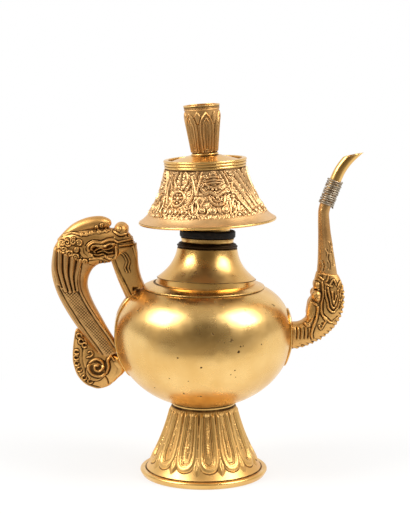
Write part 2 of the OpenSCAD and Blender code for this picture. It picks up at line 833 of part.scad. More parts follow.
medal_hollow_r = 3.7;
medal_bands = [
    [[[-2.6, 28.8], [-4.6, 32.6], [-2.8, 37.6]], 1],
    [[[2.6, 28.8], [5, 32.6], [3.2, 37.6]], 1],
    [[[0, 30.4], [0, 36.6]], 0.8],
    [[[-8, 19], [-9.6, 25], [-8, 31.5]], 1.1],
    [[[8, 19], [9.6, 25], [8.2, 31.5]], 1.1]
];
medal_bosses = [[medal_at, 1.8], [[-7.9, 14.4], 1.7], [[1.1, 14.2], 1.7]];
leaf_bands = [
    [[[-10, 34], [-4, 23], [-1, 15]], 1.2],
    [[[-6, 37], [0.6, 25.5], [4, 15.5]], 1.2],
    [[[-2, 38], [5, 27.5], [8.6, 17.5]], 1.2],
    [[[3, 38.4], [8.4, 30.4], [11.4, 22]], 1.1],
    [[[-11.6, 26.6], [-7.6, 18.6], [-5.4, 12.6]], 1.2]
];
leaf_bosses = [[[11.6, 15.4], 1.7]];
// Angles of the emblems from the front, in degrees
crown_turns = [10, 145, 280];
medal_turns = [-35, 100, 235];
leaf_turns = [55, 190];

function across(path, i) = let (d = path[min(len(path) - 1, i + 1)] - path[max(0, i - 1)])
    [-d[1], d[0]] / norm(d);
module band(path, half_w) {
    last = len(path) - 1;
    polygon(concat(
        [for (i = [0:last]) path[i] + across(path, i) * half_w],
        [for (i = [last:-1:0]) path[i] - across(path, i) * half_w]
    ));
}
module skirt_layer() {
    rotate_extrude()
        polygon(concat(
            inward(skirt_profile, -emblem_rise),
            reversed(inward(skirt_profile, cover_sheet / 2))
        ));
}
// One shape raised on the skirt
module raised() {
    intersection() {
        skirt_layer();
        rotate([90, 0, 0]) translate([0, 0, hub_r]) linear_extrude(hem_r) children();
    }
}
module emblem(turns, bands, bosses) {
    for (turn = turns)
        rotate([0, 0, turn]) {
            for (b = bands) raised() band(b[0], b[1]);
            for (b = bosses) raised() translate(b[0]) circle(b[1], $fn = emblem_sides);
            children();
        }
}

module cover_skirt() {
    color(chased) at_cover() {
        rotate_extrude()
            polygon(concat(skirt_profile, reversed(inward(skirt_profile, cover_sheet))));
        emblem(crown_turns, crown_bands, crown_bosses) raised() polygon(spire);
        emblem(medal_turns, medal_bands, medal_bosses)
            raised()
            translate(medal_at)
            difference() {
                circle(medal_r, $fn = boss_sides);
                circle(medal_hollow_r, $fn = boss_sides);
            }
        emblem(leaf_turns, leaf_bands, leaf_bosses);
    }
}

module cover_hem() {
    color(polished) at_cover() rotate_extrude()
        translate([hem_r - hem_bead, hem_z])
        circle(hem_bead);
}

module cover_top_ring() {
    count = len(ring_beads);
    r = ring_h / count / 2;
    inside = floor_edge_r + seam;
    beads = [for (i = [0:count - 1]) each
        arc([crown_r - ring_beads[i], crown_z + (2 * i + 1) * r], r, -bead_arc, bead_arc)];
    color(polished) at_cover() rotate_extrude()
        polygon(concat([[inside, crown_z]], beads, [[inside, crown_z + ring_h]]));
}

module cover_floor() {
    hole_r = stem_r + stem_play;
    color(polished) at_cover() rotate_extrude()
        polygon([
            [floor_edge_r, floor_z], [floor_edge_r, floor_z + cover_sheet], [hub_r, hub_top_z],
            [hole_r, hub_top_z], [hole_r, hub_z], [hub_r, hub_z]
        ]);
}

// Feather tube

module feather_tube() {
    top = tube_h - tube_rim_h - seam;
    color(chased) at_tube() rotate_extrude()
        polygon([
            [socket_r, -stem_len], [stem_r, -stem_len], [stem_r, 0], [tube_foot_r, 0],
            [tube_foot_r, tube_collar_h], [tube_bend_r, tube_bend * tube_h], [tube_top_r, top],
            [tube_top_r - tube_wall, top], [tube_bend_r - tube_wall, tube_bend * tube_h],
            [tube_foot_r - tube_wall, tube_collar_h + tube_wall], [socket_r, tube_collar_h]
        ]);
}

module tube_collar() {
    inside = tube_foot_r + seam;
    color(polished) at_tube() rotate_extrude()
        polygon([
            [inside, 0], [tube_collar_r, 0], [tube_collar_r, tube_collar_h * 2 / 3],
            [inside + tube_collar_w / 2, tube_collar_h], [inside, tube_collar_h]
        ]);
}

module tube_rim() {
    low = tube_h - tube_rim_h;
    inside = tube_top_r - tube_wall;
    lip_r = tube_top_r + tube_lip;
    edge = tube_lip / 2;
    color(polished) at_tube() rotate_extrude()
        polygon([
            [inside, low], [lip_r - edge, low], [lip_r, low + edge],
            [lip_r, tube_h - edge], [lip_r - edge, tube_h], [inside, tube_h]
        ]);
}

foot_shell();
foot_rim();
foot_collar();
body_globe();
shoulder_plate();
neck_step_ring();
neck_flare();
neck_bead();
mouth_collar();
handle_plate();
spout_plate();
handle_arm();
handle_head();
handle_strut();
handle_tail();
spout_makara();
spout_tube();
spout_tip();
spout_binding();
seal_ring();
cover_sleeve();
cover_skirt();
cover_hem();
cover_top_ring();
cover_floor();
feather_tube();
tube_collar();
tube_rim();
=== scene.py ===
"""Looks of a brass ritual ewer with a lotus foot, a makara handle and spout, and a loose cover.

Sizes are in millimetres, as in the part's source, and meshes are made in metres.
Every piece is built here with its relief and replaces the plain solid of the same node.
"""

import json
import math

import bpy
import numpy as np
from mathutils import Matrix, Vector, noise


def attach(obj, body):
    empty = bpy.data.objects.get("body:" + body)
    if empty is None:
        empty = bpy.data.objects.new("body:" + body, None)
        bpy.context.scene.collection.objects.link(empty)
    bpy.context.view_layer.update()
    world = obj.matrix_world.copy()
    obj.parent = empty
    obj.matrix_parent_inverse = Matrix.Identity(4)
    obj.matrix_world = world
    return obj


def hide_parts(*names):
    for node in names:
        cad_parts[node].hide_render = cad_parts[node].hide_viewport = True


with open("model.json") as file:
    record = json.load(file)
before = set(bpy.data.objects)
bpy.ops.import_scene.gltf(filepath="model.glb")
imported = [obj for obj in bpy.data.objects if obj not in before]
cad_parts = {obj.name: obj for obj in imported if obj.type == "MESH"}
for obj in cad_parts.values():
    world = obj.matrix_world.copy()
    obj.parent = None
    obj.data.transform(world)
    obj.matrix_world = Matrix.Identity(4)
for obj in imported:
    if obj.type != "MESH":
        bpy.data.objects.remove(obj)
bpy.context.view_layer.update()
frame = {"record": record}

MM = 0.001

# How deep a hollow is before it is all dark, and how far round it is judged
HOLLOW_DEPTH = 0.16
SKIRT_HOLLOW_DEPTH = 0.19
# The castings' hollows turn dark sooner and over a broader reach: patina, and painted shade in their recessed
# fields
CAST_PATINA_SHADE_DEPTH = 0.11
HOLLOW_ROUNDS = 10
# Broader reach of the castings' patina and painted shade
CAST_PATINA_SHADE_ROUNDS = 14

# Sizes of the foot
RIM_R = 41.6
RIM_H = 4.4
RIM_W = 3.8
FOOT_H = 48.4
WAIST_R = 20.6
COLLAR_H = 1.8
COLLAR_W = 3.0
COLLAR_SWELL = 0.15
PETALS = 13
PETAL_TURN = math.radians(6.2)

# Sizes of the body
BODY_R = 57.2
DOME_H = 38.0
BOWL_H = 46.5
DOME_POWER = 2.6
SHEET = 1.4

# Sizes of the shoulder and the neck
SHOULDER_R = 39.4
PLATE = 0.9
STEP_R = 31.8
STEP_W = 3.8
STEP_RISE = 3.2
NECK_H = 20.0
NECK_R = 19.3
NECK_OVER = 0.3
BEAD_H = 3.2
BEAD_OVER = 0.3
BEAD_TAPER = 0.4
MOUTH_H = 3.2
MOUTH_R = 16.8
MOUTH_LIP = 0.4
MOUTH_BORE_R = 15.7
NECK_LEAN = 1.5
NECK_BACK = 3.2
NECK_SHIFT = 1.7

# Sizes of the seal ring
SEAL_H = 5.0
SEAL_W = 2.7
SEAL_BORE_R = 15.3

# Sizes of the cover
SLEEVE_R = 14.4
SLEEVE_WALL = 1.2
PLUG_DEPTH = 10.0
SEAT_R = 16.4
SEAT_H = 1.4
HEM_R = 44.5
HEM_BEAD = 0.8
HEM_Z = 4.6
CROWN_R = 26.0
CROWN_W = 2.2
CROWN_DROP = 2.5
FLOOR_Z = 41.6
FLOOR_RISE = 4.0
HUB_R = 10.5
RING_H = 5.5
RING_INSETS = (0.5, 0.3, 0.1)
COVER_SHEET = 1.1

# Sizes of the feather tube
TUBE_H = 32.0
TUBE_FOOT_R = 7.9
TUBE_BEND = 0.78
TUBE_BEND_R = 11.1
TUBE_TOP_R = 11.3
TUBE_WALL = 1.2
TUBE_COLLAR_H = 1.2
TUBE_COLLAR_W = 0.9
TUBE_RIM_H = 1.2
TUBE_LIP = 0.4
SOCKET_R = 5.8
STEM_R = 7.0
STEM_LEN = 22.0
STEM_PLAY = 0.7
TUBE_PETALS = 6
TUBE_PETAL_TURN = 13.4

# Sizes of the plates under the handle and the spout, of the spout and of its wire
HANDLE_PLATE_W = 9.0
HANDLE_PLATE_DROP = 27.0
SPOUT_PLATE_W = 12.0
SPOUT_PLATE_DROP = 20.0
SPOUT_PLATE_RISE = 18.0
PLATE_GAP = 0.8
SPOUT_R = 3.7
SPOUT_WALL = 1.2
WIRE_D = 1.2
WIRE_PITCH = 1.42
WIRE_TURNS = 12
WIRE_PLAY = 0.3
SEAM = 0.05

# Heights and radii that follow
FLOOR_R = WAIST_R - 0.4
OPENING_R = STEP_R - 5.4
BODY_Z = FOOT_H + BOWL_H * math.sqrt(1 - (FLOOR_R / BODY_R) ** 2)


def dome_at(r, grow=0.0):
    """Height of the globe's upper half over its middle, at a radius."""
    return (DOME_H + grow) * (1 - (r / (BODY_R + grow)) ** DOME_POWER) ** (1 / DOME_POWER)


SHOULDER_Z = BODY_Z + dome_at(SHOULDER_R)
STEP_H = dome_at(STEP_R) - dome_at(SHOULDER_R) + STEP_RISE
BEAD_Z = STEP_H + NECK_H
MOUTH_Z = BEAD_Z + BEAD_H
SEAL_Z = MOUTH_Z + MOUTH_H
FOOT_TOP_Z = FOOT_H - COLLAR_H - SEAM
FLARE_R = RIM_R - RIM_W - SEAM
FOOT_RUN = FOOT_TOP_Z - RIM_H
CROWN_Z = FLOOR_Z - CROWN_DROP
FLOOR_EDGE_R = CROWN_R - CROWN_W
HUB_Z = FLOOR_Z + FLOOR_RISE
HUB_TOP_Z = HUB_Z + COVER_SHEET


def floor_at(r):
    """Height of the underside of the cover's floor: a cone up to the hub."""
    return HUB_Z - FLOOR_RISE * max(0.0, r - HUB_R) / (FLOOR_EDGE_R - HUB_R)


# Places: an origin in millimetres and a turning

def leaning(lean, back):
    """Turning that leans an upright axis towards the spout and to the back, in radians."""
    cl, sl, cb, sb = math.cos(lean), math.sin(lean), math.cos(back), math.sin(back)
    return np.array([[cl, -sl * sb, sl * cb], [0, cb, sb], [-sl, -cl * sb, cl * cb]])


def place_of(entry):
    """Place given by a joint or a mount of the record."""
    x, y, z = entry["axis"]
    return np.array(entry["pos_m"]) / MM, leaning(math.atan2(x, z), math.asin(y))


record = frame["record"]
turn_joint = next(j for j in record["behaviour"]["joints"] if j["name"] == "cover_turn")
socket_mount = next(m for m in record["mounts"] if m["name"] == "feather_socket")
UPRIGHT = (np.zeros(3), np.eye(3))
ON_BODY = (np.array([0, 0, BODY_Z]), np.eye(3))
NECK_TURNING = leaning(math.radians(NECK_LEAN), math.radians(NECK_BACK))
AT_NECK = (np.array([NECK_SHIFT, 0, SHOULDER_Z]), NECK_TURNING)
AT_COVER = place_of(turn_joint)
AT_TUBE = place_of(socket_mount)


def put(points, place):
    """Points moved from a place's own frame to the part's frame."""
    origin, turning = place
    return points @ turning.T + origin


# Curves and outlines

def bezier(points, count):
    t = np.linspace(0, 1, count + 1)[:, None]
    a, b, c, d = (np.array(p, float) for p in points)
    return (1 - t) ** 3 * a + 3 * t * (1 - t) ** 2 * b + 3 * t * t * (1 - t) * c + t ** 3 * d


def smooth(rows, per_step=8):
    """Smooth curve through the rows of a table."""
    rows = np.array(rows, float)
    padded = np.vstack([rows[:1], rows, rows[-1:]])
    t = (np.arange(per_step) / per_step)[:, None]
    out = []
    for a, b, c, d in zip(padded, padded[1:], padded[2:], padded[3:]):
        out.append(b + 0.5 * ((c - a) * t + (2 * a - 5 * b + 4 * c - d) * t ** 2
                              + (3 * b - a - 3 * c + d) * t ** 3))
    return np.vstack(out + [rows[-1:]])


def arc(centre, r, start, end, count=10):
    a = np.radians(np.linspace(start, end, count + 1))
    return np.stack([centre[0] + r * np.cos(a), centre[1] + r * np.sin(a)], axis=1)


def filleted(corners, radius, steps=4):
    """Closed outline with its corners rounded."""
    corners = np.array(corners, float)
    out = []
    t = np.linspace(0, 1, steps + 1)[:, None]
    for before, here, after in zip(np.roll(corners, 1, 0), corners, np.roll(corners, -1, 0)):
        cut = min(radius, 0.45 * np.linalg.norm(before - here), 0.45 * np.linalg.norm(after - here))
        a = here + (before - here) / np.linalg.norm(before - here) * cut
        b = here + (after - here) / np.linalg.norm(after - here) * cut
        out.append((1 - t) ** 2 * a + 2 * t * (1 - t) * here + t * t * b)
    return np.vstack(out)


def dense(loop, step):
    """Closed outline with its long edges divided."""
    out = []
    for a, b in zip(loop, np.roll(loop, -1, 0)):
        count = max(1, math.ceil(np.linalg.norm(b - a) / step))
        out.append(a + (b - a) * (np.arange(count) / count)[:, None])
    return np.vstack(out)


def moulded(corners, fillet, step=0.8, steps=4):
    """Outline of a moulding: rounded corners and divided edges."""
    return dense(filleted(corners, fillet, steps), step)


def inward(curve, by):
    return curve - np.array([by, 0])


def dome_arc(from_r, to_r, grow, count):
    """Upper profile of the globe, grown by a thickness, from one radius to another."""
    ends = np.arccos((np.array([from_r, to_r]) / (BODY_R + grow)) ** (DOME_POWER / 2))
    a = np.linspace(ends[0], ends[1], count + 1)
    power = 2 / DOME_POWER
    return np.stack([(BODY_R + grow) * np.cos(a) ** power, (DOME_H + grow) * np.sin(a) ** power], axis=1)


def globe_side(top_r, grow, count):
    """Profile of the globe from its floor up to a radius."""
    a = np.linspace(math.acos(FLOOR_R / (BODY_R + grow)), 0, count, endpoint=False)
    bowl = np.stack([(BODY_R + grow) * np.cos(a), -(BOWL_H + grow) * np.sin(a)], axis=1)
    return np.vstack([bowl, dome_arc(BODY_R + grow, top_r, grow, count)])


def globe_at(y, z, grow):
    """Distance from the axis plane to the globe's side, at a depth y and a height z."""
    up = np.clip(z - BODY_Z, 0, None) / (DOME_H + grow)
    down = np.clip(BODY_Z - z, 0, None) / (BOWL_H + grow)
    r = (BODY_R + grow) * np.where(z > BODY_Z, (1 - up ** DOME_POWER) ** (1 / DOME_POWER),
                                   np.sqrt(1 - down ** 2))
    return np.sqrt(np.clip(r ** 2 - y ** 2, 0, None))


# Meshes

def linked(name, data):
    """New object in the scene."""
    obj = bpy.data.objects.new(name, data)
    bpy.context.scene.collection.objects.link(obj)
    return obj


def make_object(name, points, faces):
    """Object from points in millimetres, with its faces turned outwards."""
    mesh = bpy.data.meshes.new(name)
    mesh.from_pydata(np.asarray(points) * MM, [], faces)
    mesh.validate()
    mesh.update()
    turn_outwards(mesh)
    mesh.shade_smooth()
    return linked(name, mesh)


def turn_outwards(mesh):
    mesh.calc_loop_triangles()
    corners = np.zeros(len(mesh.loop_triangles) * 3, int)
    mesh.loop_triangles.foreach_get("vertices", corners)
    a, b, c = positions(mesh)[corners].reshape(-1, 3, 3).transpose(1, 0, 2)
    if np.einsum("ij,ij->", a, np.cross(b, c)) < 0:
        mesh.flip_normals()


def positions(mesh):
    flat = np.zeros(len(mesh.vertices) * 3)
    mesh.vertices.foreach_get("co", flat)
    return flat.reshape(-1, 3)


def move_to(mesh, points):
    mesh.vertices.foreach_set("co", points.ravel())
    mesh.update()


def normals(mesh):
    flat = np.zeros(len(mesh.vertices) * 3, np.float32)
    mesh.vertex_normals.foreach_get("vector", flat)
    return flat.reshape(-1, 3)


def relaxed(mesh, rounds):
    """Points of a mesh moved half way to the middle of their neighbours, some rounds over."""
    points = positions(mesh)
    flat = np.zeros(len(mesh.edges) * 2, int)
    mesh.edges.foreach_get("vertices", flat)
    a, b = flat.reshape(-1, 2).T
    ends = np.concatenate([a, b])
    others = np.concatenate([b, a])
    count = np.bincount(ends, minlength=len(points))[:, None]
    for _ in range(rounds):
        total = np.stack([np.bincount(ends, points[others, k], len(points)) for k in range(3)], axis=1)
        points = points + 0.5 * (total / count - points)
    return points


def mark_hollows(obj, depth=HOLLOW_DEPTH, rounds=HOLLOW_ROUNDS, grime_and_shade=0.0):
    """Stores how far each point lies below (above 0) or above (below 0) what is round it, raised to the given
    marks of grime and of painted shade.
    """
    mesh = obj.data
    sunk = np.einsum("ij,ij->i", relaxed(mesh, rounds) - positions(mesh), normals(mesh))
    values = np.clip(np.maximum(sunk / (depth * MM), grime_and_shade), -1, 1)
    attribute = mesh.attributes.get("hollow") or mesh.attributes.new("hollow", "FLOAT", "POINT")
    attribute.data.foreach_set("value", values.astype(np.float32))


def full_turn(count):
    return 2 * math.pi * np.arange(count) / count


def grid_faces(rows, columns, closed_rows):
    """Quads of a grid whose columns go right round."""
    i = np.arange(rows if closed_rows else rows - 1)[:, None]
    k = np.arange(columns)[None, :]
    below, beside = (i + 1) % rows, (k + 1) % columns
    quads = np.stack(np.broadcast_arrays(i * columns + k, i * columns + beside,
                                         below * columns + beside, below * columns + k), axis=-1)
    return quads.reshape(-1, 4).tolist()


def capped_faces(rows, columns, hand=1):
    """Quads of such a grid with a face over its first row and over its last."""
    first = list(range(columns))
    last = list(range((rows - 1) * columns, rows * columns))
    return grid_faces(rows, columns, False) + [first[::-hand], last[::hand]]


def outward_normals(loop):
    """Normals of a closed outline in its own plane."""
    way = np.roll(loop, -1, 0) - np.roll(loop, 1, 0)
    way /= np.linalg.norm(way, axis=1)[:, None]
    x, z = loop[:, 0], loop[:, 1]
    area = np.sum(x * np.roll(z, -1) - np.roll(x, -1) * z)
    return np.stack([way[:, 1], -way[:, 0]], axis=1) * np.sign(area)


def turned(name, loop, place, columns, lift=None, seams=(), sooty=0, depth=HOLLOW_DEPTH):
    """Solid of revolution of a closed outline (radius, height).

    lift raises the outline's first rows, an array of rows by columns.
    seams are points (radius, height, reach) of the outline round which grime has settled.
    The argument after seams counts the last rows of the outline, those of an inside painted all dark as
    painted shade.
    depth is how deep a hollow is before it is all dark.
    An outline that starts and ends on the axis is closed there.
    """
    loop = np.array(loop, float)
    rows = len(loop)
    angle = full_turn(columns)
    r = np.repeat(loop[:, :1], columns, 1)
    z = np.repeat(loop[:, 1:], columns, 1)
    if lift is not None:
        out = outward_normals(loop)[:len(lift)]
        r[:len(lift)] += lift * out[:, :1]
        z[:len(lift)] += lift * out[:, 1:]
    points = np.stack([r * np.sin(angle), -r * np.cos(angle), z], axis=-1).reshape(-1, 3)
    on_axis = loop[0, 0] == 0 and loop[-1, 0] == 0
    faces = grid_faces(rows, columns, not on_axis)
    if on_axis:
        same = np.arange(rows * columns).reshape(rows, columns)
        same[0] = same[0, 0]
        same[-1] = same[-1, 0]
        used = np.unique(same)
        corners = np.searchsorted(used, same.ravel())[np.array(faces)]
        faces = [list(dict.fromkeys(face)) for face in corners.tolist()]
        points = points[used]
    grime_and_shade = np.full(len(points), -1.0)
    radius = np.hypot(points[:, 0], points[:, 1])
    for seam_r, seam_z, reach in seams:
        away = np.hypot(radius - seam_r, points[:, 2] - seam_z) / reach
        grime_and_shade = np.maximum(grime_and_shade, 1 - away)
    # Painted shade: the inside's last rows are made fully dark, standing for the shade under a cover
    if sooty:
        grime_and_shade[-sooty * columns:] = 1.0
    obj = make_object(name, put(points, place), faces)
    mark_hollows(obj, depth, grime_and_shade=grime_and_shade)
    return obj


WAVE_FINER = 3.1
WAVE_FINE_SHARE = 0.3
WAVE_SHIFT = np.array([7.0, 3.0, 1.0])


def raised_by_hand(obj, depth, scale, dents=()):
    """Slight waves of a sheet raised with a hammer, and single dents (x, y, z, reach, depth)."""
    mesh = obj.data
    here = positions(mesh)
    wave = np.array([noise.noise(Vector(p * scale)) for p in here])
    fine = np.array([noise.noise(Vector(p * scale * WAVE_FINER + WAVE_SHIFT)) for p in here])
    move = depth * (wave + WAVE_FINE_SHARE * fine)
    for x, y, z, reach, dent in dents:
        away = np.linalg.norm(here - np.array([x, y, z]) * MM, axis=1) / (reach * MM)
        move -= dent * bump(away)
    move_to(mesh, here + normals(mesh) * move[:, None] * MM)


# Relief drawn with strokes: ridges and grooves along smooth lines

def bump(t):
    """Rounded bell over -1 to 1."""
    return np.clip(1 - t * t, 0, None) ** 2


def ramp(values, start, run):
    """0 up to a start, and 1 from there on after a run."""
    return np.clip((values - start) / run, 0, 1)


def distance(points, path):
    """Distance of each point of the plane to a line through the points of a path."""
    best = np.full(len(points), np.inf)
    for a, b in zip(path[:-1], path[1:]):
        way = b - a
        share = np.clip((points - a) @ way / max(way @ way, 1e-12), 0, 1)
        best = np.minimum(best, np.linalg.norm(points - a - share[:, None] * way, axis=1))
    return best


def inside_of(points, outline):
    """Signed distance of points of the plane to a closed outline, above 0 inside it."""
    inside = np.zeros(len(points), bool)
    for a, b in zip(outline, np.roll(outline, -1, 0)):
        crosses = (a[1] > points[:, 1]) != (b[1] > points[:, 1])
        at = a[0] + (points[:, 1] - a[1]) / (b[1] - a[1] + 1e-9) * (b[0] - a[0])
        inside ^= crosses & (points[:, 0] < at)
    away = distance(points, np.vstack([outline, outline[:1]]))
    return np.where(inside, away, -away)


class Relief:
    """Heights of a field of points in a plane, built up stroke by stroke.

    A line given as a list of points is smoothed, and one given as an array is drawn as it is.
    """

    def __init__(self, points):
        self.points = points
        self.height = np.zeros(len(points))

    def near(self, path, reach):
        path = path if isinstance(path, np.ndarray) else smooth(path, 6)
        low, high = path.min(0) - reach, path.max(0) + reach
        inside = np.flatnonzero(np.all((self.points > low) & (self.points < high), axis=1))
        return inside, distance(self.points[inside], path)

    def away_from(self, spot):
        return np.linalg.norm(self.points - np.array(spot, float), axis=1)

    def ridge(self, path, width, rise):
        inside, away = self.near(path, width)
        self.height[inside] = np.maximum(self.height[inside], rise * bump(away / width))

    def groove(self, path, width, depth):
        inside, away = self.near(path, width)
        self.height[inside] -= depth * bump(away / width)

    def boss(self, centre, radius, rise):
        dome = np.sqrt(np.clip(1 - (self.away_from(centre) / radius) ** 2, 0, None))
        self.height = np.maximum(self.height, rise * dome)

    def pit(self, centre, radius, depth):
        self.height -= depth * bump(self.away_from(centre) / radius)


CURL_POINTS = 26
CURL_CLOSE = 0.8


def spiral(centre, radius, start=0.0, turns=1.4, hand=1):
    """Points of a curl that winds in to its middle."""
    a = np.linspace(0, turns, CURL_POINTS)
    r = radius * (1 - CURL_CLOSE * a / turns)
    way = math.radians(start) + hand * 2 * math.pi * a
    return np.stack([centre[0] + r * np.cos(way), centre[1] + r * np.sin(way)], axis=1)


def ring(centre, radius):
    return arc(centre, radius, 0, 360, 20)


def shifted(path, by_x, by_z=0.0):
    return [(x + by_x, z + by_z) for x, z in path]


# Materials

def add(tree, kind, sockets=None, **settings):
    """A shader node with its settings, and its sockets set or linked."""
    node = tree.nodes.new(kind)
    for key, value in settings.items():
        setattr(node, key, value)
    for key, value in (sockets or {}).items():
        if isinstance(value, bpy.types.NodeSocket):
            tree.links.new(value, node.inputs[key])
        else:
            node.inputs[key].default_value = value
    return node


def mix(tree, factor, a, b, blend="MIX"):
    """Mix of two colours, each a socket or three numbers."""
    a, b = (v if isinstance(v, bpy.types.NodeSocket) else (*v, 1) for v in (a, b))
    return add(tree, "ShaderNodeMix", {0: factor, 6: a, 7: b}, data_type="RGBA", blend_type=blend).outputs[2]


def maths(tree, operation, a, b=0.0):
    return add(tree, "ShaderNodeMath", {0: a, 1: b}, operation=operation).outputs[0]


def ranged(tree, value, low, high, to_low=0.0, to_high=1.0):
    """A value mapped from one range to another, and kept in it."""
    sockets = {"Value": value, "From Min": low, "From Max": high, "To Min": to_low, "To Max": to_high}
    return add(tree, "ShaderNodeMapRange", sockets).outputs[0]


def noise_at(tree, where, scale, detail=4.0, output="Fac"):
    sockets = {"Vector": where, "Scale": scale, "Detail": detail}
    return add(tree, "ShaderNodeTexNoise", sockets).outputs[output]


def stretched(tree, where, scale):
    return add(tree, "ShaderNodeMapping", {"Vector": where, "Scale": scale}).outputs[0]


def new_material(name):
    material = bpy.data.materials.new(name)
    material.use_nodes = True
    tree = material.node_tree
    shader = tree.nodes["Principled BSDF"]
    where = add(tree, "ShaderNodeTexCoord").outputs["Object"]
    return material, tree, shader, where


def finish_surface(tree, shader, tone, rough, height, strength, dent):
    """Colour, roughness and fine dents of a material."""
    dents = add(tree, "ShaderNodeBump", {"Height": height, "Strength": strength, "Distance": dent})
    for key, value in (("Base Color", tone), ("Roughness", rough), ("Normal", dents.outputs[0])):
        tree.links.new(value, shader.inputs[key])


BRIGHT_BRASS = (0.93, 0.60, 0.215)
DEEP_BRASS = (0.80, 0.46, 0.135)
# Dark brown of patina in the hollows; on the castings also painted shade in their recessed fields
PATINA_AND_SHADE = (0.085, 0.040, 0.014)
CLOUD_SCALE = 45.0
POLISH_SCALE = 85.0
STAIN_SCALE = 160.0
FINE_SCALE = 700.0
GRAIN_SCALE = 1500.0
SPECK_SCALE = 105.0
SPECK_WARP_SCALE = 420.0
SPECK_WARP = 0.004
SCRATCHES = (((90, 90, 2600), 0.6, 0.75), ((2200, 2200, 160), 0.62, 0.76))
SCRATCH_TONE = 0.25
SCRATCH_ROUGH = 0.06
SCRATCH_DEPTH = 0.12
CLOUDY = (0.35, 0.68)
STAINED = (0.25, 0.6, 0.55, 1.0)
STIPPLED = (0.42, 0.3, 0.0, 0.5)
SPECK_EDGE = (0.13, 0.07)
SPECK_GRIME = 0.85
PIT_RAGGED = 0.4
FINE_DEPTH = 0.25
GRIME_ROUGH = 0.35
GRIME_AND_SHADE_RANGE = (0.12, 0.6)
WORN = (-0.15, -0.7)
WORN_SHARE = 0.55
WORN_LIFT = 1.12
DENT_STRENGTH = 0.22
DENT_DEPTH = 0.00025


def brass(name, bright, deep, rough, patina_and_shade=PATINA_AND_SHADE, specks=0.0, cast=0.0, pits=()):
    """Old brass: mottled tone, burnishing scratches, patina in the hollows with painted shade laid in the
    same dark colour where a piece is marked for it, and bright worn edges.
    """
    material, tree, shader, where = new_material(name)
    fine = noise_at(tree, where, FINE_SCALE, 3.0)
    lines = [ranged(tree, noise_at(tree, stretched(tree, where, scale), 1.0, 2.0), low, high)
             for scale, low, high in SCRATCHES]
    scratches = maths(tree, "MAXIMUM", *lines)
    hollow = add(tree, "ShaderNodeAttribute", attribute_name="hollow").outputs["Fac"]
    stain = ranged(tree, noise_at(tree, where, STAIN_SCALE), *STAINED)
    # Dark of patina and grime in hollows and at seams, together with painted shade where the hollow mark
    # carries it
    grime_and_shade = maths(tree, "MULTIPLY", ranged(tree, hollow, *GRIME_AND_SHADE_RANGE), stain)
    cloud = noise_at(tree, where, CLOUD_SCALE, 6.0)
    tone = mix(tree, ranged(tree, cloud, *CLOUDY), bright, deep)
    tone = mix(tree, ranged(tree, scratches, 0.0, 1.0, 0.0, SCRATCH_TONE), tone, deep)
    height = maths(tree, "MULTIPLY", fine, FINE_DEPTH)
    if cast:
        grain = noise_at(tree, where, GRAIN_SCALE, 3.0)
        height = maths(tree, "ADD", height, maths(tree, "MULTIPLY", grain, cast))
        stipple = ranged(tree, grain, *STIPPLED)
        grime_and_shade = maths(tree, "MAXIMUM", grime_and_shade, maths(tree, "MULTIPLY", stipple, cast))
    if specks:
        warp = noise_at(tree, where, SPECK_WARP_SCALE, 2.0, "Color")
        bent = mix(tree, SPECK_WARP, where, warp, "ADD")
        cells = add(tree, "ShaderNodeTexVoronoi", {"Vector": bent, "Scale": SPECK_SCALE}).outputs
        chosen = add(tree, "ShaderNodeSeparateColor", {"Color": cells["Color"]}).outputs[0]
        dots = ranged(tree, cells["Distance"], *SPECK_EDGE)
        dots = maths(tree, "MULTIPLY", dots, ranged(tree, chosen, 1 - specks, 1 - specks + 0.05))
        height = maths(tree, "SUBTRACT", height, dots)
        grime_and_shade = maths(tree, "MAXIMUM", grime_and_shade, maths(tree, "MULTIPLY", dots, SPECK_GRIME))
    for spot, r in pits:
        centre = Vector(spot) * MM
        away = add(tree, "ShaderNodeVectorMath", {0: where, 1: centre}, operation="DISTANCE").outputs["Value"]
        stray = PIT_RAGGED * r * MM
        ragged = maths(tree, "ADD", away, ranged(tree, fine, 0.3, 0.7, -stray, stray))
        hole = ranged(tree, ragged, r * MM, 0.5 * r * MM)
        height = maths(tree, "SUBTRACT", height, hole)
        grime_and_shade = maths(tree, "MAXIMUM", grime_and_shade, hole)
    worn = ranged(tree, hollow, *WORN, 0.0, WORN_SHARE)
    tone = mix(tree, worn, tone, tuple(min(1.0, v * WORN_LIFT) for v in bright))
    polish = ranged(tree, noise_at(tree, where, POLISH_SCALE), 0.3, 0.7, rough - 0.06, rough + 0.08)
    for part, share in ((scratches, SCRATCH_ROUGH), (grime_and_shade, GRIME_ROUGH)):
        polish = maths(tree, "ADD", polish, maths(tree, "MULTIPLY", part, share))
    height = maths(tree, "SUBTRACT", height, maths(tree, "MULTIPLY", scratches, SCRATCH_DEPTH))
    shader.inputs["Metallic"].default_value = 1.0
    finish_surface(tree, shader, mix(tree, grime_and_shade, tone, patina_and_shade), polish, height, DENT_STRENGTH, DENT_DEPTH)
    return material


GLOBE_PITS = [
    ((-16.1, -54.7, 89), 0.8), ((-1.4, -56.1, 83), 0.8), ((21.9, -52.8, 92.3), 1.1), ((23, -52.1, 95.6), 0.7),
    ((24.6, -51.6, 95.8), 0.5), ((11.7, -55.1, 100.2), 0.6), ((12.9, -55.2, 98.5), 0.7),
    ((-9.4, -51.5, 73.5), 0.7), ((-2, -43.6, 61.9), 1.0), ((-3.4, -43.6, 61.9), 0.6),
    ((19.4, -51.8, 80.2), 0.6), ((20, -49.5, 75.6), 0.5), ((16.9, -51.7, 77.6), 0.5),
    ((-21.4, -48.4, 74.5), 0.5), ((36, -44.2, 95.3), 0.6), ((-30.8, -35.7, 65.7), 0.6),
]
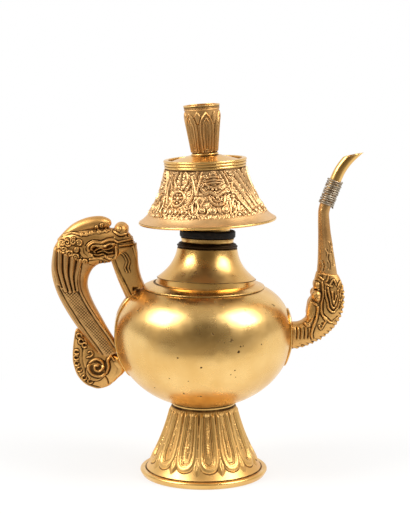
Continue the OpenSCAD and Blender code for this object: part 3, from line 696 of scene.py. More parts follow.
# Rosy patina of the skirt's hollows, and also the painted shade of its whole inside
ROSY_PATINA_AND_SHADE = (0.13, 0.06, 0.022)
# Near-black of the neck bead's hollows: tarnish together with painted shade
BEAD_TARNISH_AND_SHADE = (0.012, 0.008, 0.005)
POLISHED_ROUGH = 0.28
CAST_ROUGH = 0.46
polished = brass("polished_brass_look", BRIGHT_BRASS, DEEP_BRASS, POLISHED_ROUGH)
globe_brass = brass("globe_brass_look", (0.95, 0.63, 0.245), (0.84, 0.51, 0.165), POLISHED_ROUGH,
                    specks=0.2, pits=GLOBE_PITS)
chased = brass("chased_brass_look", (0.97, 0.60, 0.21), (0.82, 0.465, 0.145), 0.36, cast=0.4)
rosy = brass("rosy_brass_look", (0.90, 0.585, 0.285), (0.72, 0.425, 0.175), 0.40, ROSY_PATINA_AND_SHADE, cast=0.4)
cast = brass("cast_brass_look", (0.88, 0.52, 0.175), (0.66, 0.35, 0.105), CAST_ROUGH, cast=0.7)
brown = brass("brown_brass_look", (0.77, 0.465, 0.18), (0.56, 0.305, 0.11), CAST_ROUGH, cast=0.7)
# Near-black brass of the neck bead: a dark tarnish, and painted shade and painted reflection of the cover's
# dark underside
tarnish_and_shade = brass("tarnish_and_shade_brass_look", (0.085, 0.05, 0.022), (0.028, 0.017, 0.009), 0.5, BEAD_TARNISH_AND_SHADE)


def wire_metal():
    """Dull iron wire, stained unevenly."""
    material, tree, shader, where = new_material("iron_wire_look")
    stain = ranged(tree, noise_at(tree, where, 260.0, 5.0), 0.35, 0.65)
    tone = mix(tree, stain, (0.56, 0.49, 0.38), (0.28, 0.21, 0.14))
    rough = ranged(tree, stain, 0.0, 1.0, 0.34, 0.6)
    grain = noise_at(tree, stretched(tree, where, (900, 900, 3000)), 1.0)
    shader.inputs["Metallic"].default_value = 1.0
    finish_surface(tree, shader, tone, rough, grain, 0.3, 0.0001)
    return material


def seal_rubber():
    """Matte black ring with a dusty, slightly rough skin."""
    material, tree, shader, where = new_material("black_seal_look")
    dust = ranged(tree, noise_at(tree, where, 320.0, 5.0), 0.45, 0.8)
    tone = mix(tree, dust, (0.010, 0.008, 0.006), (0.034, 0.025, 0.017))
    rough = ranged(tree, dust, 0.0, 1.0, 0.55, 0.8)
    skin = noise_at(tree, where, 1200.0, 3.0)
    shader.inputs["Specular IOR Level"].default_value = 0.25
    finish_surface(tree, shader, tone, rough, skin, 0.35, 0.0002)
    return material


wire_look = wire_metal()
seal_look = seal_rubber()


def dress(obj, node, body, material):
    """Gives a piece its material, and puts it in the place of its node."""
    obj.data.materials.append(material)
    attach(obj, body)
    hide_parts(node)


def piece(node, kind, body, material, loop, place, columns, hammer=None, **looks):
    """Turned piece, with the waves of the hammer, in the place of its node."""
    obj = turned(f"{node}_{kind}", loop, place, columns, **looks)
    if hammer:
        raised_by_hand(obj, *hammer)
    dress(obj, node, body, material)


# Foot

WAIST_HANDLE = (0.05, 0.25)
FLARE_HANDLE = (0.22, 0.31)
foot_curve = bezier([
    (WAIST_R, FOOT_TOP_Z),
    (WAIST_R + FOOT_RUN * WAIST_HANDLE[0], FOOT_TOP_Z - FOOT_RUN * WAIST_HANDLE[1]),
    (FLARE_R - FOOT_RUN * FLARE_HANDLE[0], RIM_H + FOOT_RUN * FLARE_HANDLE[1]),
    (FLARE_R, RIM_H),
], 150)
FOOT_PER_PETAL = 72
FOOT_COLUMNS = PETALS * FOOT_PER_PETAL
PETAL_HALF = [(0, 0.1), (0.3, 0.112), (0.55, 0.145), (0.8, 0.25), (0.84, 0.45), (0.74, 0.99)]
HOLLOW_HALF = [(0, 0.2), (0.22, 0.21), (0.36, 0.25), (0.46, 0.36), (0.44, 0.6), (0.36, 0.99)]
SEPAL_HALF = [(0, 0.055), (0.3, 0.13), (0.42, 0.25), (0.3, 0.5), (0.2, 0.8)]
PETAL_TAPER = 0.35
BORDER_LOW = 0.25
BORDER_RISE = 0.95
BORDER_LINE = 0.22
BORDER_LINE_AT = 0.78
BORDER_LINE_W = 0.12
TONGUE_SINK = 0.35
TONGUE_BEAD = 0.75
RIB_FROM = 0.3
RIB_TO = 0.92
RIB_W = 1.25
RIB_RISE = 0.75
RIB_ROUGH = 0.5
TONGUE_GRAIN = 0.14
FOOT_GRAIN = 0.05
SEPAL_RISE = 0.95
GROUND_SINK = 0.28
FRINGE_RISE = 0.45
FRINGE_PITCH = 1.6
PETALS_TOP = 0.95


def run_of(curve):
    """Length along a curve up to each of its points."""
    return np.concatenate([[0], np.cumsum(np.linalg.norm(np.diff(curve, axis=0), axis=1))])


def leaf_outline(half, height_of):
    """Closed outline of a leaf with its tip down, from half widths and heights given as shares."""
    widest = math.pi * FLARE_R / PETALS
    rows = smooth(half, 6)
    right = np.stack([rows[:, 0] * widest * (1 - PETAL_TAPER * rows[:, 1]), height_of(rows[:, 1])], axis=1)
    return np.vstack([right, (right * [-1, 1])[:0:-1]])


def grained(points, scale, seed):
    """Rough, uneven values from -1 to 1 over points of the plane."""
    return np.array([noise.noise(Vector((x * scale, y * scale, seed))) for x, y in points])


def lotus_relief(curve):
    """One petal of the foot: a broad rounded border, a sunken tongue with a rough rib, and half sepals."""
    pitch = 2 * math.pi / PETALS
    off = (np.arange(FOOT_PER_PETAL) / FOOT_PER_PETAL - 0.5) * pitch
    run = run_of(curve)
    up = run[-1] - run
    share = (curve[:, 1] - RIM_H) / FOOT_RUN

    def height_of(h):
        return np.interp(h, share[::-1], up[::-1])

    def spread(column):
        return np.repeat(column[:, None], FOOT_PER_PETAL, 1).ravel()

    x = curve[:, :1] * np.sin(off)[None, :]
    h = spread(share)
    points = np.stack([x.ravel(), spread(up)], axis=1)
    edge = spread(curve[:, 0] * math.sin(pitch / 2))
    petal = inside_of(points, leaf_outline(PETAL_HALF, height_of))
    petal = np.minimum(petal, edge - np.abs(points[:, 0]) + 0.25)
    hollow = inside_of(points, leaf_outline(HOLLOW_HALF, height_of))
    across = np.clip(petal / np.maximum(petal - hollow, 0.3), 0, 1)
    border = BORDER_LOW + BORDER_RISE * np.sqrt(np.clip(1 - (2 * across - 1) ** 2, 0, None))
    border -= BORDER_LINE * bump((across - BORDER_LINE_AT) / BORDER_LINE_W)
    rough = grained(points, 1.1, 3.0)
    fine = grained(points, 2.6, 8.0)
    tongue = -TONGUE_SINK + TONGUE_BEAD * bump((hollow - 0.5) / 0.5)
    rib = ramp(h, RIB_FROM, 0.08) * np.clip((RIB_TO - h) / 0.3, 0, 1)
    rib_rise = RIB_RISE + RIB_ROUGH * rough
    tongue += rib * bump(points[:, 0] / RIB_W) * rib_rise + TONGUE_GRAIN * fine * (hollow > 0.9)
    mirrored_x = np.abs(points[:, 0]) - edge
    between = np.stack([mirrored_x, points[:, 1]], axis=1)
    sepal = inside_of(between, leaf_outline(SEPAL_HALF, height_of))
    leaf = np.clip(sepal / 2.2, 0, 1) * SEPAL_RISE - 0.2 * bump(mirrored_x / 0.3) * (sepal > 0.6)
    ground = -GROUND_SINK * ramp(h, 0.06, 0.05)
    relief = np.where(hollow > 0, tongue, np.where(petal > 0, border, np.maximum(ground, leaf)))
    fringe = FRINGE_RISE * np.abs(np.sin(points[:, 0] * math.pi / FRINGE_PITCH))
    fringe = fringe * bump((h - PETALS_TOP) / 0.045)
    relief = relief * np.clip((PETALS_TOP - h) / 0.05, 0, 1) * np.clip(h / 0.02, 0, 1) + fringe
    return (relief + FOOT_GRAIN * rough * (h > 0.12)).reshape(x.shape)


foot_shift = round((math.degrees(PETAL_TURN) / 360 - 0.5 / PETALS) * FOOT_COLUMNS)
foot_relief = np.roll(np.tile(lotus_relief(foot_curve), (1, PETALS)), foot_shift, axis=1)
foot_loop = np.vstack([
    foot_curve,
    [(FLARE_R, RIM_H / 2), (FLARE_R, SEAM), (FLARE_R - SHEET, SEAM)],
    inward(foot_curve, SHEET)[::-2],
])
piece("foot_shell", "lotus", "vase", chased, foot_loop, UPRIGHT, FOOT_COLUMNS, lift=foot_relief,
      seams=[(FLARE_R, RIM_H, 0.7), (WAIST_R, FOOT_TOP_Z, 2.0)])

RIM_SET = 1.6
RIM_SINK = 0.2
RIM_EDGE = 1.4
rim_loop = moulded(np.vstack([
    [(RIM_R - RIM_W, 0), (RIM_R - RIM_SET, 0)],
    arc((RIM_R - RIM_EDGE, RIM_H - RIM_EDGE), RIM_EDGE, -25, 85, 16),
    [(RIM_R - RIM_W, RIM_H - RIM_SINK)],
]), 0.25)
piece("foot_rim", "bead", "vase", polished, rim_loop, UPRIGHT, 320,
      seams=[(RIM_R - RIM_W, RIM_H - RIM_SINK, 0.8)])

collar_out = COLLAR_W + COLLAR_SWELL
collar_loop = dense(filleted([
    (0, 0), (COLLAR_W, 0), (collar_out, COLLAR_H / 3), (collar_out, COLLAR_H * 2 / 3),
    (COLLAR_W, COLLAR_H - SEAM), (0, COLLAR_H - SEAM),
], 0.3) + np.array([WAIST_R - COLLAR_W, FOOT_H - COLLAR_H]), 0.4)
piece("foot_collar", "ring", "vase", polished, collar_loop, UPRIGHT, 240,
      seams=[(WAIST_R, FOOT_H, 0.8), (WAIST_R, FOOT_H - COLLAR_H, 0.8)])

# Body

outer_side = globe_side(OPENING_R, 0, 90)
inner_side = globe_side(OPENING_R, -SHEET, 40)
globe_loop = np.vstack([
    [(0, outer_side[0, 1]), (FLOOR_R / 2, outer_side[0, 1])], outer_side,
    inner_side[::-1], [(FLOOR_R / 2, inner_side[0, 1]), (0, inner_side[0, 1])],
])
GLOBE_DENTS = [
    (-19, -53, 78, 6, 0.25), (-3, -55, 72, 5, 0.2), (-13, -51, 64, 7, 0.25), (10, -56, 89, 5, 0.15),
    (30, 48, 82, 8, 0.3), (-22, 50, 100, 7, 0.2),
]
piece("body_globe", "skin", "vase", globe_brass, globe_loop, ON_BODY, 360, hammer=(0.16, 42.0, GLOBE_DENTS),
      seams=[(FLOOR_R, outer_side[0, 1], 1.6)])

shoulder_loop = moulded(np.vstack([
    dome_arc(SHOULDER_R, OPENING_R, SEAM + PLATE, 24),
    dome_arc(SHOULDER_R, OPENING_R, SEAM, 24)[::-1],
]), 0.2, steps=2)
piece("shoulder_plate", "skin", "vase", polished, shoulder_loop, ON_BODY, 320,
      seams=[(SHOULDER_R, dome_at(SHOULDER_R), 0.9), (STEP_R, dome_at(STEP_R) + PLATE, 1.2)])


def plate_on_globe(node, side, half_w, low, high):
    """Thin round-ended plate lying on the globe, on the spout's side (1) or the handle's (-1)."""
    rows, columns = 72, 28
    z = (low + high) / 2 - (high - low) / 2 * np.cos(np.linspace(0.06, math.pi - 0.06, rows))
    end = np.clip(np.maximum(low + half_w - z, z - (high - half_w)), 0, half_w)
    w = np.sqrt(half_w ** 2 - end ** 2)
    y = w[:, None] * np.sin(np.linspace(-math.pi / 2, math.pi / 2, columns))[None, :]
    zz = np.repeat(z[:, None], columns, 1)
    layers = [np.stack([side * globe_at(y, zz, grow), y, zz], axis=-1) for grow in (SEAM + PLATE, SEAM)]
    loops = np.concatenate([layers[0], layers[1][:, ::-1]], axis=1)
    obj = make_object(f"{node}_skin", loops.reshape(-1, 3), capped_faces(rows, 2 * columns, -1))
    dress(obj, node, "vase", polished)


plate_on_globe("handle_plate", -1, HANDLE_PLATE_W, BODY_Z - HANDLE_PLATE_DROP, SHOULDER_Z - PLATE_GAP)
plate_on_globe("spout_plate", 1, SPOUT_PLATE_W, BODY_Z - SPOUT_PLATE_DROP, BODY_Z + SPOUT_PLATE_RISE)

# Neck

STEP_EDGE = 0.4
STEP_SINK = 0.2
step_low = STEP_H - STEP_RISE - 2.0
step_loop = moulded([
    (STEP_R - STEP_W, step_low), (STEP_R, step_low), (STEP_R, STEP_H), (STEP_R - STEP_W, STEP_H),
], STEP_EDGE, 0.5, 6)


def rest_on_plate(obj, sink):
    """Ends a ring a little under the top of the shoulder plate that carries it."""
    here = positions(obj.data) / MM
    top = BODY_Z + dome_at(np.hypot(here[:, 0], here[:, 1]), PLATE + SEAM)
    here[:, 2] = np.maximum(here[:, 2], top - sink)
    move_to(obj.data, here * MM)


step_ring = turned("neck_step_ring_moulding", step_loop, AT_NECK, 300)
rest_on_plate(step_ring, STEP_SINK)
mark_hollows(step_ring)
dress(step_ring, "neck_step_ring", "vase", polished)

NECK_LOW_HANDLE = (5.6, 0.23)
NECK_HIGH_HANDLE = (1.6, 0.54)
neck_foot_r = STEP_R + NECK_OVER
neck_curve = bezier([
    (neck_foot_r, STEP_H + SEAM), (neck_foot_r - NECK_LOW_HANDLE[0], STEP_H + NECK_H * NECK_LOW_HANDLE[1]),
    (NECK_R + NECK_HIGH_HANDLE[0], BEAD_Z - NECK_H * NECK_HIGH_HANDLE[1]), (NECK_R, BEAD_Z - SEAM),
], 70)
neck_loop = np.vstack([neck_curve, inward(neck_curve, SHEET)[::-2]])
piece("neck_flare", "skin", "vase", polished, neck_loop, AT_NECK, 300, hammer=(0.08, 60.0),
      seams=[(neck_foot_r, STEP_H, 0.8), (NECK_R, BEAD_Z, 1.0)])

bead_r = BEAD_H / 2
bead_loop = moulded(np.vstack([
    [(MOUTH_BORE_R, BEAD_Z)],
    arc((NECK_R + BEAD_OVER - bead_r, BEAD_Z + bead_r), bead_r, -80, 0, 10),
    arc((NECK_R - BEAD_TAPER - bead_r, BEAD_Z + bead_r), bead_r, 0, 80, 10),
    [(MOUTH_BORE_R, BEAD_Z + BEAD_H)],
]), 0.2, 0.5, 2)
# The bead is made near black: tarnish together with painted shade from under the cover
piece("neck_bead", "ring", "vase", tarnish_and_shade, bead_loop, AT_NECK, 280, hammer=(0.12, 260.0))

lip_r = MOUTH_R + MOUTH_LIP
mouth_loop = moulded([
    (MOUTH_BORE_R, MOUTH_Z + SEAM), (MOUTH_R, MOUTH_Z + SEAM), (MOUTH_R, SEAL_Z - 1.2), (lip_r, SEAL_Z - 0.8),
    (lip_r, SEAL_Z - 0.3), (MOUTH_R, SEAL_Z), (MOUTH_BORE_R, SEAL_Z),
], 0.25, 0.5)
piece("mouth_collar", "ring", "vase", polished, mouth_loop, AT_NECK, 260,
      seams=[(MOUTH_R, MOUTH_Z, 1.0), (lip_r, SEAL_Z, 0.7)])

seal_x = SEAL_BORE_R + SEAL_W / 2
seal_loop = dense(np.vstack([
    arc((seal_x, SEAL_Z + SEAM + SEAL_W / 2), SEAL_W / 2, -180, 0, 16),
    arc((seal_x, SEAL_Z + SEAL_H - SEAL_W / 2), SEAL_W / 2, 0, 180, 16),
]), 0.5)
piece("seal_ring", "band", "seal", seal_look, seal_loop, AT_NECK, 240, hammer=(0.05, 420.0))

# Cover

sleeve_in = SLEEVE_R - SLEEVE_WALL
sleeve_loop = moulded([
    (sleeve_in, -PLUG_DEPTH), (SLEEVE_R, -PLUG_DEPTH), (SLEEVE_R, 0), (SEAT_R, 0), (SEAT_R, SEAT_H),
    (SLEEVE_R, SEAT_H), (SLEEVE_R, floor_at(SLEEVE_R) - SEAM), (sleeve_in, floor_at(sleeve_in) - SEAM),
], 0.2, 1.5)
piece("cover_sleeve", "plug", "cover", polished, sleeve_loop, AT_COVER, 220)

SKIRT_LEDGE = 0.4
CROWN_LEDGE = 0.2
HEM_HANDLE = (0.56, 0.12)
CROWN_HANDLE = (2.9, 0.51)
skirt_low = HEM_Z + HEM_BEAD + SEAM
skirt_run = CROWN_Z - skirt_low
skirt_curve = bezier([
    (HEM_R - SKIRT_LEDGE, skirt_low),
    (CROWN_R + (HEM_R - CROWN_R) * HEM_HANDLE[0], skirt_low + skirt_run * HEM_HANDLE[1]),
    (CROWN_R + CROWN_HANDLE[0], skirt_low + skirt_run * CROWN_HANDLE[1]),
    (CROWN_R - CROWN_LEDGE, CROWN_Z - SEAM),
], 150)
SKIRT_COLUMNS = 960
PANEL_HALF = 22.5

# Emblems of the skirt, drawn on its front: across, and height above the seat

SASH = [(-7.8, 27.5), (-5.5, 24.9), (-3, 25.9), (1.8, 23.5), (5.5, 25.3), (8.4, 26)]


def crown_emblem(relief):
    """Tiered crown over a garland, a wavy sash and a bowl, with curls at its sides and bosses below."""
    relief.ridge([(0, 38.2), (0, 31.6)], 3.2, 0.4)
    relief.boss((-0.2, 38.3), 1.0, 1.0)
    for z, half in ((36.7, 1.5), (34.9, 3.0), (32.8, 4.5), (31.2, 4.7)):
        relief.ridge([(-half, z - 0.3), (0, z + 0.35), (half, z - 0.3)], 0.75, 1.0)
        relief.boss((-half - 0.3, z - 0.4), 0.75, 0.95)
        relief.boss((half + 0.3, z - 0.4), 0.75, 0.95)
    relief.ridge([(-5, 30.2), (0, 28.3), (5.3, 30.4)], 0.9, 1.0)
    for x, z in ((-3.2, 28.3), (-1.1, 27.3), (1.3, 27.2), (3.4, 28.1)):
        relief.boss((x, z), 0.8, 0.8)
    relief.ridge(SASH, 1.35, 1.1)
    relief.groove(SASH, 0.4, 0.45)
    relief.ridge([(-3.6, 23), (-2.4, 19.7), (1.2, 17.5), (5.4, 18.6), (6.6, 23)], 0.95, 1.1)
    relief.ridge([(-1.2, 22.6), (-0.2, 20.6), (1.6, 19.8), (3.6, 20.4), (4.4, 22.4)], 0.65, 0.8)
    relief.boss((1.6, 22.2), 0.9, 0.8)
    relief.ridge([(4.8, 38.6), (6.7, 36.1), (9.1, 31.5), (9.7, 28)], 1.0, 1.0)
    relief.ridge([(7.2, 38.4), (9.0, 35.4), (11.0, 31)], 0.7, 0.8)
    relief.ridge(spiral((8.4, 26.4), 1.9, 60, 1.3, -1), 0.75, 1.0)
    relief.ridge(spiral((-7.8, 30.6), 2.0, 200, 1.4), 0.75, 1.05)
    relief.ridge([(-9.2, 38.2), (-10.6, 35), (-11, 31.5)], 0.95, 1.0)
    relief.ridge([(-6.4, 38.2), (-7.6, 35.8), (-7.9, 33)], 0.7, 0.85)
    relief.ridge([(-9.7, 22.4), (-12.7, 18.6)], 1.3, 1.1)
    relief.ridge([(-6.6, 21.4), (-8.6, 18.8), (-9.4, 17.6)], 0.8, 0.9)
    for centre, r in (((-2.4, 14.8), 2.5), ((6.1, 15), 2.5), ((-9, 15.2), 2.0)):
        relief.boss(centre, r, 1.15)
        relief.groove(ring(centre, r * 0.6), 0.4, 0.5)
    relief.ridge([(0.6, 16), (1.8, 13.4), (3.4, 12.2)], 0.7, 0.85)
    relief.ridge([(-5.2, 15.4), (-5.9, 13.2), (-7.4, 11.8)], 0.7, 0.85)
    relief.ridge([(9.2, 19), (9.6, 15.4), (8.6, 12.2)], 0.8, 0.9)
    for centre in ((11.6, 24.2), (12.2, 21.4), (-12.4, 12.4), (11.8, 12.8)):
        relief.boss(centre, 1.1, 0.95)


def medal_emblem(relief):
    """Flower in a ring, with flames above, leaves at the sides and pairs of beads below."""
    middle = (0, 22)
    relief.ridge(ring(middle, 4.5), 1.1, 1.1)
    relief.boss(middle, 1.5, 1.0)
    for k in range(7):
        a = math.radians(360 / 7 * k + 12)
        relief.boss((2.6 * math.cos(a), 22 + 2.6 * math.sin(a)), 0.85, 0.75)
    for path in ([(-2.6, 28.6), (-4.6, 32.6), (-2.8, 37.8)], [(2.6, 28.6), (5, 32.6), (3.2, 37.8)]):
        relief.ridge(path, 1.1, 1.05)
        relief.groove(path, 0.3, 0.35)
    relief.ridge([(0, 29.8), (0, 37)], 0.9, 1.0)
    relief.boss((0, 37.6), 0.8, 0.9)
    for side in (-1, 1):
        relief.ridge([(side * 8, 18.6), (side * 9.6, 25), (side * 8.1, 31.8)], 1.15, 1.05)
        relief.ridge([(side * 5.8, 27.4), (side * 6.9, 30.6), (side * 6.2, 34.6)], 0.75, 0.9)
        relief.ridge([(side * 5.4, 17.4), (side * 7.4, 15.6), (side * 11.4, 16.8)], 0.8, 0.9)
        relief.ridge([(side * 10.8, 20), (side * 12.2, 23.4), (side * 11.6, 27)], 0.75, 0.85)
    for x in (-7.9, -3.4, 1.1, 5.8):
        relief.boss((x, 14.2), 1.6, 1.1)
        relief.ridge([(x + 1.2, 15.4), (x + 2.6, 13.8), (x + 2.2, 11.8)], 0.65, 0.8)
    relief.ridge([(-12.6, 14.6), (-11, 12.4), (-9.6, 11)], 0.8, 0.9)
    relief.ridge([(10.2, 13.8), (11.6, 12.2), (13.2, 11.6)], 0.8, 0.9)


LEAVES = [
    [(-10, 34), (-4, 23), (-1, 14.4)], [(-6, 37), (0.6, 25.5), (4, 14.9)], [(-2, 38), (5, 27.5), (8.6, 16.8)],
    [(3, 38.4), (8.4, 30.4), (11.4, 21.4)], [(-11.6, 26.6), (-7.6, 18.6), (-5.4, 12.2)],
]


def leaf_emblem(relief):
    """Bold leaves that slant down beside each other, with rounded tips."""
    for path in LEAVES:
        ahead = path[1:] + path[-1:]
        vein = [(x * 0.4 + u * 0.6, z * 0.4 + w * 0.6) for (x, z), (u, w) in zip(path, ahead)]
        relief.ridge(path, 1.35, 1.15)
        relief.groove(vein, 0.35, 0.4)
        relief.boss(path[-1], 1.35, 1.15)
        relief.ridge(shifted(path, 1.9, -0.4), 0.5, 0.55)
    for centre in ((11.6, 15.4), (1.6, 12.4), (6.8, 12.8), (-9.4, 12.2)):
        relief.boss(centre, 1.5, 1.05)
    relief.ridge(spiral((-8.6, 36.6), 1.4, 180, 1.2), 0.65, 0.9)


# Leaves between two panels: heights, distances from the line between them, and width
BORDER_LEAVES = [
    ((24, 29, 35.5), (0.2, 1.2, 3.0), 0.95), ((20.4, 17.2, 13.4), (0.2, 1.8, 1.2), 0.9),
    ((12.8, 11.4, 10.2), (0.3, 2.2, 2.8), 0.8),
]


def border_leaves(relief, edge_at):
    """Pairs of leaves in a V, on the line between two panels."""
    for side in (-1, 1):
        for heights, sets, width in BORDER_LEAVES:
            relief.ridge([(side * (edge_at(z) - by), z) for z, by in zip(heights, sets)], width, 1.05)
        relief.boss((side * edge_at(22.2), 22.2), 1.3, 1.0)
        relief.boss((side * edge_at(11.4), 11.4), 1.2, 0.9)


PANELS = [
    (10, crown_emblem), (-35, medal_emblem), (55, leaf_emblem), (100, medal_emblem), (145, crown_emblem),
    (190, leaf_emblem), (235, medal_emblem), (280, crown_emblem),
]
GROUND_FROM = 9.6
GROUND_DEPTH = 0.34
EMBLEM_FROM = 0.12
TENDRIL_PITCH = 3.4
TENDRIL_ROWS = 9
TENDRILS = 5
TENDRIL_R = 1.5
TENDRIL_W = 0.65
TENDRIL_RISE = 0.32


def tendrils(points):
    """Low curls that fill the ground between the emblems."""
    relief = Relief(points)
    for row in range(TENDRIL_ROWS):
        for column in range(-TENDRILS, TENDRILS + 1):
            spot = (TENDRIL_PITCH * (column + row % 2 / 2), GROUND_FROM + TENDRIL_PITCH * (row + 0.5))
            curl = spiral(spot, TENDRIL_R, 67 * row + 101 * column, 1.3, 1 if (row + column) % 2 else -1)
            relief.ridge(curl, TENDRIL_W, TENDRIL_RISE)
    return relief.height - GROUND_DEPTH


def columns_round(columns, turn, half):
    """Columns of a turned piece that lie round a direction, and how far off it they are, in degrees."""
    off = (360 * np.arange(columns) / columns - turn + 180) % 360 - 180
    chosen = np.flatnonzero(np.abs(off) <= half + 0.1)
    return chosen, off[chosen]


def skirt_relief(curve, columns):
    """Eight emblem panels between leaf borders, over a curled ground, with a plain band at the hem."""
    r, z = curve[:, 0], curve[:, 1]
    relief = np.zeros((len(curve), columns))

    def edge_at(height):
        return float(np.interp(height, z, r)) * math.sin(math.radians(PANEL_HALF))

    for turn, emblem in PANELS:
        chosen, off = columns_round(columns, turn, PANEL_HALF)
        x = r[:, None] * np.sin(np.radians(off))[None, :]
        points = np.stack([x, np.repeat(z[:, None], len(chosen), 1)], axis=-1).reshape(-1, 2)
        panel = Relief(points)
        emblem(panel)
        border_leaves(panel, edge_at)
        height = np.where(panel.height > EMBLEM_FROM, panel.height, tendrils(points))
        relief[:, chosen] = height.reshape(x.shape)
    fade = ramp(z, GROUND_FROM, 0.8) * np.clip((CROWN_Z - 0.15 - z) / 0.5, 0, 1)
    return relief * fade[:, None]


skirt_inside = inward(skirt_curve, COVER_SHEET)[::-2]
skirt_loop = np.vstack([skirt_curve, skirt_inside])
# Its inside is painted dark all over: painted shade under the cover
piece("cover_skirt", "relief", "cover", rosy, skirt_loop, AT_COVER, SKIRT_COLUMNS,
      lift=skirt_relief(skirt_curve, SKIRT_COLUMNS), seams=[(CROWN_R, CROWN_Z, 1.4)],
      sooty=len(skirt_inside), depth=SKIRT_HOLLOW_DEPTH)

hem_loop = arc((HEM_R - HEM_BEAD, HEM_Z), HEM_BEAD, 0, 345, 23)
piece("cover_hem", "bead", "cover", polished, hem_loop, AT_COVER, 320, hammer=(0.16, 30.0),
      seams=[(HEM_R - 0.6, skirt_low, 0.6)])

crown_in = FLOOR_EDGE_R + SEAM
ring_bead = RING_H / len(RING_INSETS) / 2
crown_beads = [arc((CROWN_R - sink, CROWN_Z + (2 * i + 1) * ring_bead), ring_bead, -80, 80, 10)
               for i, sink in enumerate(RING_INSETS)]
crown_ends = [(crown_in, CROWN_Z)], [(crown_in, CROWN_Z + RING_H)]
crown_loop = moulded(np.vstack([crown_ends[0], *crown_beads, crown_ends[1]]), 0.25, 0.5, 2)
piece("cover_top_ring", "moulding", "cover", polished, crown_loop, AT_COVER, 300, hammer=(0.1, 40.0), seams=[
    (CROWN_R, CROWN_Z + 2 * i * ring_bead, reach) for i, reach in enumerate((0.7, 0.5, 0.5))])

floor_in = STEM_R + STEM_PLAY
floor_loop = moulded([
    (floor_in, HUB_Z), (HUB_R, HUB_Z), (FLOOR_EDGE_R, FLOOR_Z), (FLOOR_EDGE_R, FLOOR_Z + COVER_SHEET),
    (HUB_R, HUB_TOP_Z), (floor_in, HUB_TOP_Z),
], 0.3)
piece("cover_floor", "disc", "cover", polished, floor_loop, AT_COVER, 240, hammer=(0.08, 90.0),
      seams=[(FLOOR_EDGE_R, FLOOR_Z + COVER_SHEET, 2.2), (floor_in, HUB_TOP_Z, 2.0)])

# Feather tube

tube_top = TUBE_H - TUBE_RIM_H - SEAM
TUBE_COLUMNS = 480
tube_bend_z = TUBE_BEND * TUBE_H
tube_side = np.vstack([
    np.linspace((TUBE_FOOT_R, TUBE_COLLAR_H), (TUBE_BEND_R, tube_bend_z), 100, endpoint=False),
    np.linspace((TUBE_BEND_R, tube_bend_z), (TUBE_TOP_R, tube_top), 40),
])
UPRIGHT_PETAL = [(0, 27.9), (1.5, 26.4), (3.5, 23.8), (4.6, 20.6), (4.7, 15), (4.1, 7), (3.7, 1.4)]
UPRIGHT_INNER = [(0, 24.4), (1.1, 23.2), (2.3, 21.2), (2.8, 18.6), (2.7, 13), (2.3, 6), (2.1, 1.4)]
UPRIGHT_CORE = [(0, 20.8), (0.9, 19.4), (1.2, 16.6), (1.1, 10), (0.8, 4)]
BETWEEN_TIP = [(0, 28.4), (1.6, 26.4), (2.0, 24.6), (0.6, 20)]
TUBE_RINGS = (29.2, 30.2)
TUBE_RING_RISE = 0.3
TUBE_RING_W = 0.35
TUBE_PETAL_TOP = 28.8
TUBE_GROUND = -0.15
TUBE_EDGE_RISE = 0.75
TUBE_EDGE_BASE = 0.1
TUBE_TIP_RISE = 0.65
TUBE_INNER_RISE = 0.6
TUBE_CORE_RISE = 0.45
TUBE_CORE_SINK = 0.3


def doubled(half):
    """Line round a pointed form, from the line of its right half."""
    half = smooth(half, 6)
    return np.vstack([(half * [-1, 1])[:0:-1], half])


def tube_relief(side, columns):
    """Upright pointed petals with a doubled outline and a sunken core, and two fine rings under the rim."""
    pitch = 360 / TUBE_PETALS
    relief = np.zeros((len(side), columns))
    for k in range(TUBE_PETALS):
        chosen, off = columns_round(columns, TUBE_PETAL_TURN + pitch * k, pitch / 2)
        x = side[:, :1] * np.radians(off)[None, :]
        points = np.stack([x, np.repeat(side[:, 1:], len(chosen), 1)], axis=-1).reshape(-1, 2)
        edge = np.repeat(side[:, :1] * math.radians(pitch / 2), len(chosen), 1).ravel()
        between = np.stack([edge - np.abs(points[:, 0]), points[:, 1]], axis=1)
        petal = inside_of(points, doubled(UPRIGHT_PETAL))
        inner = inside_of(points, doubled(UPRIGHT_INNER))
        core = inside_of(points, doubled(UPRIGHT_CORE))
        tip = inside_of(between, doubled(BETWEEN_TIP))
        border = TUBE_EDGE_RISE * bump((petal - 0.75) / 0.75) + TUBE_EDGE_BASE
        height = np.where(petal > 0, border, TUBE_GROUND)
        height = np.where((petal <= 0) & (tip > 0), TUBE_TIP_RISE * np.clip(tip / 0.9, 0, 1), height)
        height = np.where(inner > 0, TUBE_INNER_RISE * bump((inner - 0.55) / 0.55), height)
        height = np.where(core > 0, TUBE_CORE_RISE * bump((core - 0.9) / 0.4) - TUBE_CORE_SINK, height)
        relief[:, chosen] = height.reshape(x.shape)
    z = side[:, 1:]
    rings = TUBE_RING_RISE * sum(bump((z - ring_z) / TUBE_RING_W) for ring_z in TUBE_RINGS)
    fade = ramp(z, TUBE_COLLAR_H, 0.8) * np.clip((TUBE_PETAL_TOP - z) / 0.3, 0, 1)
    return relief * fade + rings


